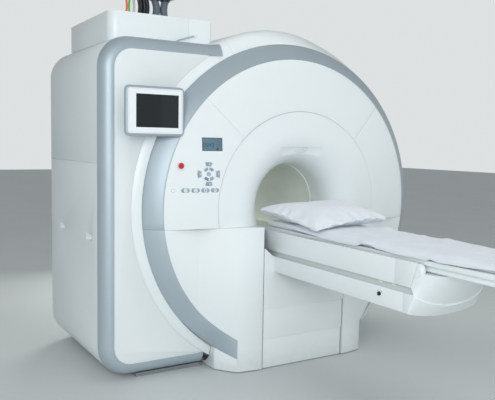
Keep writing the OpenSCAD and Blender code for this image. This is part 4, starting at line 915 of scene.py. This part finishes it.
for v in pillow.data.vertices:
    x, y, z = v.co.x * sx, v.co.y * sy, v.co.z * sz
    a, b = x / (w / 2), y / (l / 2)
    # The filling sits towards the far side, in front of a shallow dip where a head has lain
    dip = math.exp(-((x + 0.02) / spread_x) ** 2 - ((y - 0.12) / spread_y) ** 2)
    hump = math.exp(-((x - 0.19) / spread_x) ** 2 - ((y - 0.02) / spread_y) ** 2)
    pull = noise.noise(Vector((x * 5 - y * 3, y * 16 + x * 12, 0.4))) * (0.35 + 0.65 * min(1, math.hypot(a, b)))
    if z > 0:
        z += 0.010 * hump - 0.011 * dip + 0.0022 * pull
    z += low.z + t / 2
    # The two corners away from the bore droop, the near one more
    z -= 0.070 * (max(0.0, 1 - b) / 2) ** 2 * (max(0.0, 1 - a) / 2) ** 2 * min(1, math.hypot(a, b))
    z -= 0.016 * (max(0.0, 1 - b) / 2) ** 2 * (max(0.0, 1 + a) / 2) ** 2
    if z < ground + 0.05:
        z = ground + 0.5 * (z - ground + math.sqrt((z - ground) ** 2 + 0.00012)) - 0.004
    z = min(max(z, ground), high.z + 0.011)
    # The cushion still has to pass through the bore, so it narrows where the round tube does
    room = math.sqrt(max(0.0, bore_r ** 2 - (z - axis) ** 2))
    v.co = Vector((max(-room, min(room, x + middle.x)), y + middle.y, z))
use(pillow, "SUBSURF", levels=1, render_levels=1)
bpy.ops.object.shade_smooth()
wear(pillow, material=pillow_cotton)
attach(pillow, "tabletop")
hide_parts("pillow")

# %% [markdown]
# ## Table sides
#
# The fascias are folded covers with a recessed grip rail along their middle, a seam near the table's end and an end
# that leans forward. Each is built from flat plates with a small bend radius. The rounded end cap keeps its CAD form
# and gets a soft surface, and a shoulder closes the corner between the fascia, the cap and the tabletop.

# %% Finishes of the table's sides, and a plate in their plane
# Grip rail: a duller, greyer lacquer than the covers. Its grey is painted shade of the recessed groove, and the screw
# plugs wear the same grey.
groove_shade_and_plug_grey = mottled("groove_shade_and_plug_grey_lacquer", "#C2CAC9", "#CBD2D1", 60, detail=3.0, Roughness=0.45, IOR=1.5)
# Latch covers: cream plastic, a little yellowed
latch_cream = mottled("cream_abs_plastic", "#E2E0CD", "#EAE8D8", 12, Roughness=0.4, IOR=1.5)


def slab(name, outline, x0, x1, edge, material, segments=2):
    """A plate between x0 and x1 with this outline of (y, z) points in millimetres, its edges eased."""
    made = basic(bpy.ops.mesh.primitive_circle_add, name, vertices=len(outline), fill_type="NGON")
    for v, (y, z) in zip(made.data.vertices, outline):
        v.co = (x0 / 1000, y / 1000, z / 1000)
    open_mesh(made)
    bpy.ops.mesh.extrude_region_move(TRANSFORM_OT_translate={"value": ((x1 - x0) / 1000, 0, 0)})
    close_mesh()
    face_out(made, 1e-7)
    rounded(made, edge / 1000, segments)
    wear(made, material=material)
    return made


# %% Fascias
# Each plate runs along y from its first value to its end, which leans where its top and its foot end at two places.
# All lengths are in millimetres, and the seams are 0.8 mm wide.
low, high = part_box("table_fascias")
start, back = -132, high.y * 1000
foot, rail_low, rail_high, lip = 667, 770.5, 805.5, 938.5
seam_up, seam_down, half_seam = -1260, -1328, 0.4
cap_outline = [(-1377, 808), (-1417.5, 936.5), (-1424, 935.5), (-1439, 926), (-1446, 904), (-1447, 885), (-1405, 850)]
sides = []
for s in (-1, 1):
    face, inner, deep = 262 * s, 254 * s, 248.5 * s
    for name, y0, z0, z1, end_top, end_foot, x0, x1, edge, material in (
            ("upper", back, rail_high, lip, seam_up + half_seam, seam_up + half_seam, face, inner, 1.6, cover_white),
            ("upper_end", seam_up - half_seam, rail_high, lip, -1417, -1375, face, inner, 1.6, cover_white),
            # The rail plates' grey is painted shade of the recess they sit in
            ("rail", back, 769, 807, -1372, -1392, deep, deep - 3 * s, 0.5, groove_shade_and_plug_grey),
            ("rail_top", back, rail_high, 808, -1373, -1374, face - 2 * s, deep - 2 * s, 0.4, groove_shade_and_plug_grey),
            ("lower", start, foot, rail_low, seam_down + half_seam, seam_down + half_seam, face, inner, 1.6,
             cover_white),
            ("lower_end", seam_down - half_seam, foot, rail_low, -1395, -1358, face, inner, 1.6, cover_white),
            ("rail_floor", back, 768, 770, -1393, -1394, face - 2 * s, deep - 2 * s, 0.4, cover_white),
            ("flange", back, 931, 938.3, -1410, -1408, inner + 3 * s, 244 * s, 1.0, cover_white)):
        outline = [(y0, z0), (y0, z1), (end_top, z1), (end_foot, z0)]
        sides.append(slab("fascia_" + name, outline, x0, x1, edge, material))
    sides.append(slab("cap_shoulder", cap_outline, face - 0.6 * s, 229 * s, 2.5, cover_white, 3))

# %% Latches and turn marks on the near fascia
quarter = (0, 0, -math.pi / 2)
for y in (-1.148, -1.247):
    latch = fan("latch", 0, 0, 0, 0.0155, 0, 360, 0.002, latch_cream, steps=28)
    sides.append(bake(latch, (-0.2487, y, 0.797), quarter, (1, 1, 0.42)))
knob_y, knob_z, face_x, arc_r = -1.153, 0.731, -0.262, 0.0198
for a0, a1 in ((38, 62), (70, 110), (118, 142)):
    arc = fan("turn_mark", 0, 0, 0.019, 0.0207, a0, a1, 0.0003, key_dark, steps=6)
    sides.append(bake(arc, (face_x, knob_y, knob_z), quarter))
for turned, bend in ((38, -0.9), (142, 0.9)):
    a = math.radians(turned)
    tip = flat("turn_tip", 0, 0, 0.0065, 0.0065, key_dark, sides=3, turned=a + bend + math.pi / 2)
    sides.append(bake(tip, (face_x, knob_y - arc_r * math.cos(a), knob_z + arc_r * math.sin(a)), quarter))
fascias = join("fascia_plates", *sides)

# %% End cap
# The CAD node holds the cap and both fascias. Only the island that crosses the middle is kept.
cap = linked("end_cap", nodes["table_fascias"].data.copy())
tool = bmesh.new()
tool.from_mesh(cap.data)
bmesh.ops.remove_doubles(tool, verts=tool.verts, dist=2e-5)
tool.verts.ensure_lookup_table()
seen = set()
for v in tool.verts:
    if v in seen:
        continue
    island, heap = {v}, [v]
    while heap:
        for e in heap.pop().link_edges:
            for n in e.verts:
                if n not in island:
                    island.add(n)
                    heap.append(n)
    seen |= island
    xs = [n.co.x for n in island]
    if max(xs) < 0 or min(xs) > 0:
        bmesh.ops.delete(tool, geom=list(island), context="VERTS")
tool.to_mesh(cap.data)
tool.free()
pick(cap)
bpy.ops.mesh.customdata_custom_splitnormals_clear()
smooth(cap, 24)
wear(cap, material=cover_white)
for piece in (fascias, cap):
    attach(piece, nodes["table_fascias"]["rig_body"])
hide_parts("table_fascias")
print("table sides", len(fascias.data.polygons), "faces; cap", len(cap.data.polygons))

# %% [markdown]
# ## Funnel cover with its soft brow
#
# The mouth of the bore is one large rounding, which is spun here from its section with many more steps than the CAD
# body has. A level crease over the mouth belongs to a shallow hollow; it is cut with a flattened ball, so the hollow
# fades out downwards with no edge. The half-round window stands in that hollow.

# %% Funnel
dome, mouth, throat, rim, bend_steps = 5.4, 0.2, 0.3, 0.65755, 30
lip_r = (throat + mouth) / (1 - mouth / dome)
lean_a = math.asin(lip_r / dome)
tree = surface("front_cover_top")
probe = 0.75
hit = tree.ray_cast(Vector((0, -1, axis + probe)), Vector((0, 1, 0)))[0]
apex = hit.y - dome + math.sqrt(dome ** 2 - probe ** 2)
throat_y = apex + dome - math.sqrt(dome ** 2 - lip_r ** 2) + mouth * math.cos(lean_a)
radii = [rim - 0.0008] + [rim - 0.001 - (rim - lip_r) * k / 8 for k in range(8)]
section = [(r, apex + dome - math.sqrt(dome ** 2 - r ** 2) + (0 if k else 0.0009)) for k, r in enumerate(radii)]
for k in range(bend_steps + 1):
    a = math.radians(-90) + lean_a - (math.pi / 2 + lean_a) * k / bend_steps
    section.append((throat + mouth + mouth * math.cos(a), throat_y + mouth * math.sin(a)))
section.append((throat, throat_y + 0.111))
around, ledge_z = 260, 0.9719
funnel = basic(bpy.ops.mesh.primitive_grid_add, "funnel_shell", x_subdivisions=around,
               y_subdivisions=len(section) - 1, size=2)
for v in funnel.data.vertices:
    r, y = section[round((v.co.y + 1) / 2 * (len(section) - 1))]
    below = math.asin((axis - ledge_z) / r)
    turned = -below + (v.co.x + 1) / 2 * (math.pi + 2 * below)
    v.co = (r * math.cos(turned), y, axis + r * math.sin(turned))
face_out(funnel)
use(funnel, "SOLIDIFY", thickness=0.019, offset=-1, use_even_offset=True)
ball_z = 0.415
ball_y = throat_y - math.sqrt(mouth ** 2 - (throat + mouth - ball_z) ** 2)
ball_half, ball_forward, ball_tilt = (0.2243, 0.058, 0.15), -0.049, math.radians(27)
ball = basic(bpy.ops.mesh.primitive_uv_sphere_add, "hollow_tool", scale=ball_half, segments=96, ring_count=64,
             radius=1)
bake(ball, (0, ball_forward, 0))
bake(ball, (0, ball_y, axis + ball_z), (ball_tilt, 0, 0))
open_mesh(ball)
bpy.ops.mesh.bisect(plane_co=(0, ball_y, axis + ball_z), plane_no=(0, 0, 1), use_fill=True, clear_outer=True)
close_mesh()
use(funnel, "BOOLEAN", operation="DIFFERENCE", solver="EXACT", object=ball)
bpy.data.objects.remove(ball)
smooth(funnel, 30)
wear(funnel, material=cover_white)
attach(funnel, "gantry")
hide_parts("funnel_cover")
window = dressed("laser_window", 0.001, window_acrylic)
for v in window.data.vertices:
    v.co += Vector((0, -0.0035, -0.0015))
print("funnel", len(funnel.data.polygons), "faces, mouth", round(throat * 2000), "mm wide")

# %% Small fittings on the covers
# Latch rod in front of the top box
rod_y, rod_rise = 0.2915, math.radians(90 - 18.6)
rod = basic(bpy.ops.mesh.primitive_cylinder_add, "rod", (-0.7315, rod_y, 2.218), (0, rod_rise, 0), vertices=20,
            radius=0.0045, depth=0.144)
wear(rod, material=ring_silver)
bead = basic(bpy.ops.mesh.primitive_uv_sphere_add, "bead", (-0.663, rod_y, 2.241), segments=20, ring_count=12,
             radius=0.0105)
bpy.ops.object.shade_smooth()
wear(bead, material=bezel_white)
rod = join("box_latch", rod, bead)
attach(rod, "gantry")
# Plugs over the cover screws
plugs = []
for x, z in ((-0.483, 1.547), (-0.531, 1.457), (-0.012, 1.7215)):
    plugs.append(fan("plug", x, z, 0.0, 0.0045, 0, 360, 0.0006, groove_shade_and_plug_grey, steps=20))
plugs = settle(join("screw_plugs", *plugs), "front_cover_left")
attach(plugs, "gantry")

# %% [markdown]
# ## Floor, light and finish
#
# The object stands on a plain pale floor in soft studio light. The background's white comes from the world as the
# camera sees it, so it adds no light to the covers. Five large lamps give the covers their slow change from lit to
# shaded; two of them don't show in reflections.

# %% Floor
floor = basic(bpy.ops.mesh.primitive_plane_add, "floor", size=60)
floor_paint = mottled("matt_floor_paint", "#C9CDCD", "#D2D6D6", 900, Roughness=0.6, IOR=1.45)
wear(floor, material=floor_paint)

# %% World and lamps
world = bpy.data.worlds.new("studio")
bpy.context.scene.world = world
world.use_nodes = True
tree = world.node_tree
tree.nodes.clear()
rays = add(tree, "ShaderNodeLightPath")
seen = add(tree, "ShaderNodeMath", {"operation": "MAXIMUM"}, i0=rays.outputs["Is Camera Ray"],
           i1=rays.outputs["Is Transmission Ray"])
# The silver parts mirror a studio whose ceiling is darker than its walls
height = add(tree, "ShaderNodeSeparateXYZ", Vector=add(tree, "ShaderNodeTexCoord").outputs["Generated"])
rise = add(tree, "ShaderNodeMapRange", {"interpolation_type": "SMOOTHSTEP"}, Value=height.outputs["Z"], From_Min=0.05,
           From_Max=0.45, To_Min=0.66, To_Max=0.22)
level = add(tree, "ShaderNodeMix", {"data_type": "FLOAT"}, i0=rays.outputs["Is Glossy Ray"], i2=0.54,
            i3=rise.outputs["Result"])
ambient = add(tree, "ShaderNodeBackground", Color=linear("#E8EEF0"), Strength=level.outputs[0])
backdrop = add(tree, "ShaderNodeBackground", Color=linear("#E9ECED"), Strength=0.9)
both = add(tree, "ShaderNodeMixShader", i0=seen.outputs["Value"], i1=ambient.outputs["Background"],
           i2=backdrop.outputs["Background"])
add(tree, "ShaderNodeOutputWorld", Surface=both.outputs["Shader"])


def lamp(name, place, aim, size, power, tint):
    """A square soft lamp that faces its aim."""
    light = bpy.data.lights.new(name, "AREA")
    light.shape, light.size, light.energy, light.color = "SQUARE", size, power, linear(tint)[:3]
    made = linked(name, light)
    made.location = place
    made.rotation_euler = (Vector(aim) - Vector(place)).to_track_quat("-Z", "Y").to_euler()
    return made


lamp("overhead", (0.6, -1.6, 4.8), (0, -0.2, 0.9), 4.0, 38, "#FFFFFF").visible_glossy = False
lamp("front_left", (-4.1, -4.6, 2.7), (-0.3, -0.3, 1.1), 3.0, 152, "#FBFDFF")
lamp("front", (-0.8, -5.6, 1.5), (0.1, 0.2, 1.1), 2.4, 36, "#FDFEFF").visible_glossy = False
lamp("right", (5.0, -3.0, 2.6), (0, 0, 1.1), 3.0, 15, "#FFFDF8")
lamp("rear", (0.5, 3.4, 1.7), (0, 0.6, 1.1), 1.6, 50, "#F6FAF2")
bpy.context.scene.view_settings.view_transform = "Standard"

bpy.context.view_layer.update()
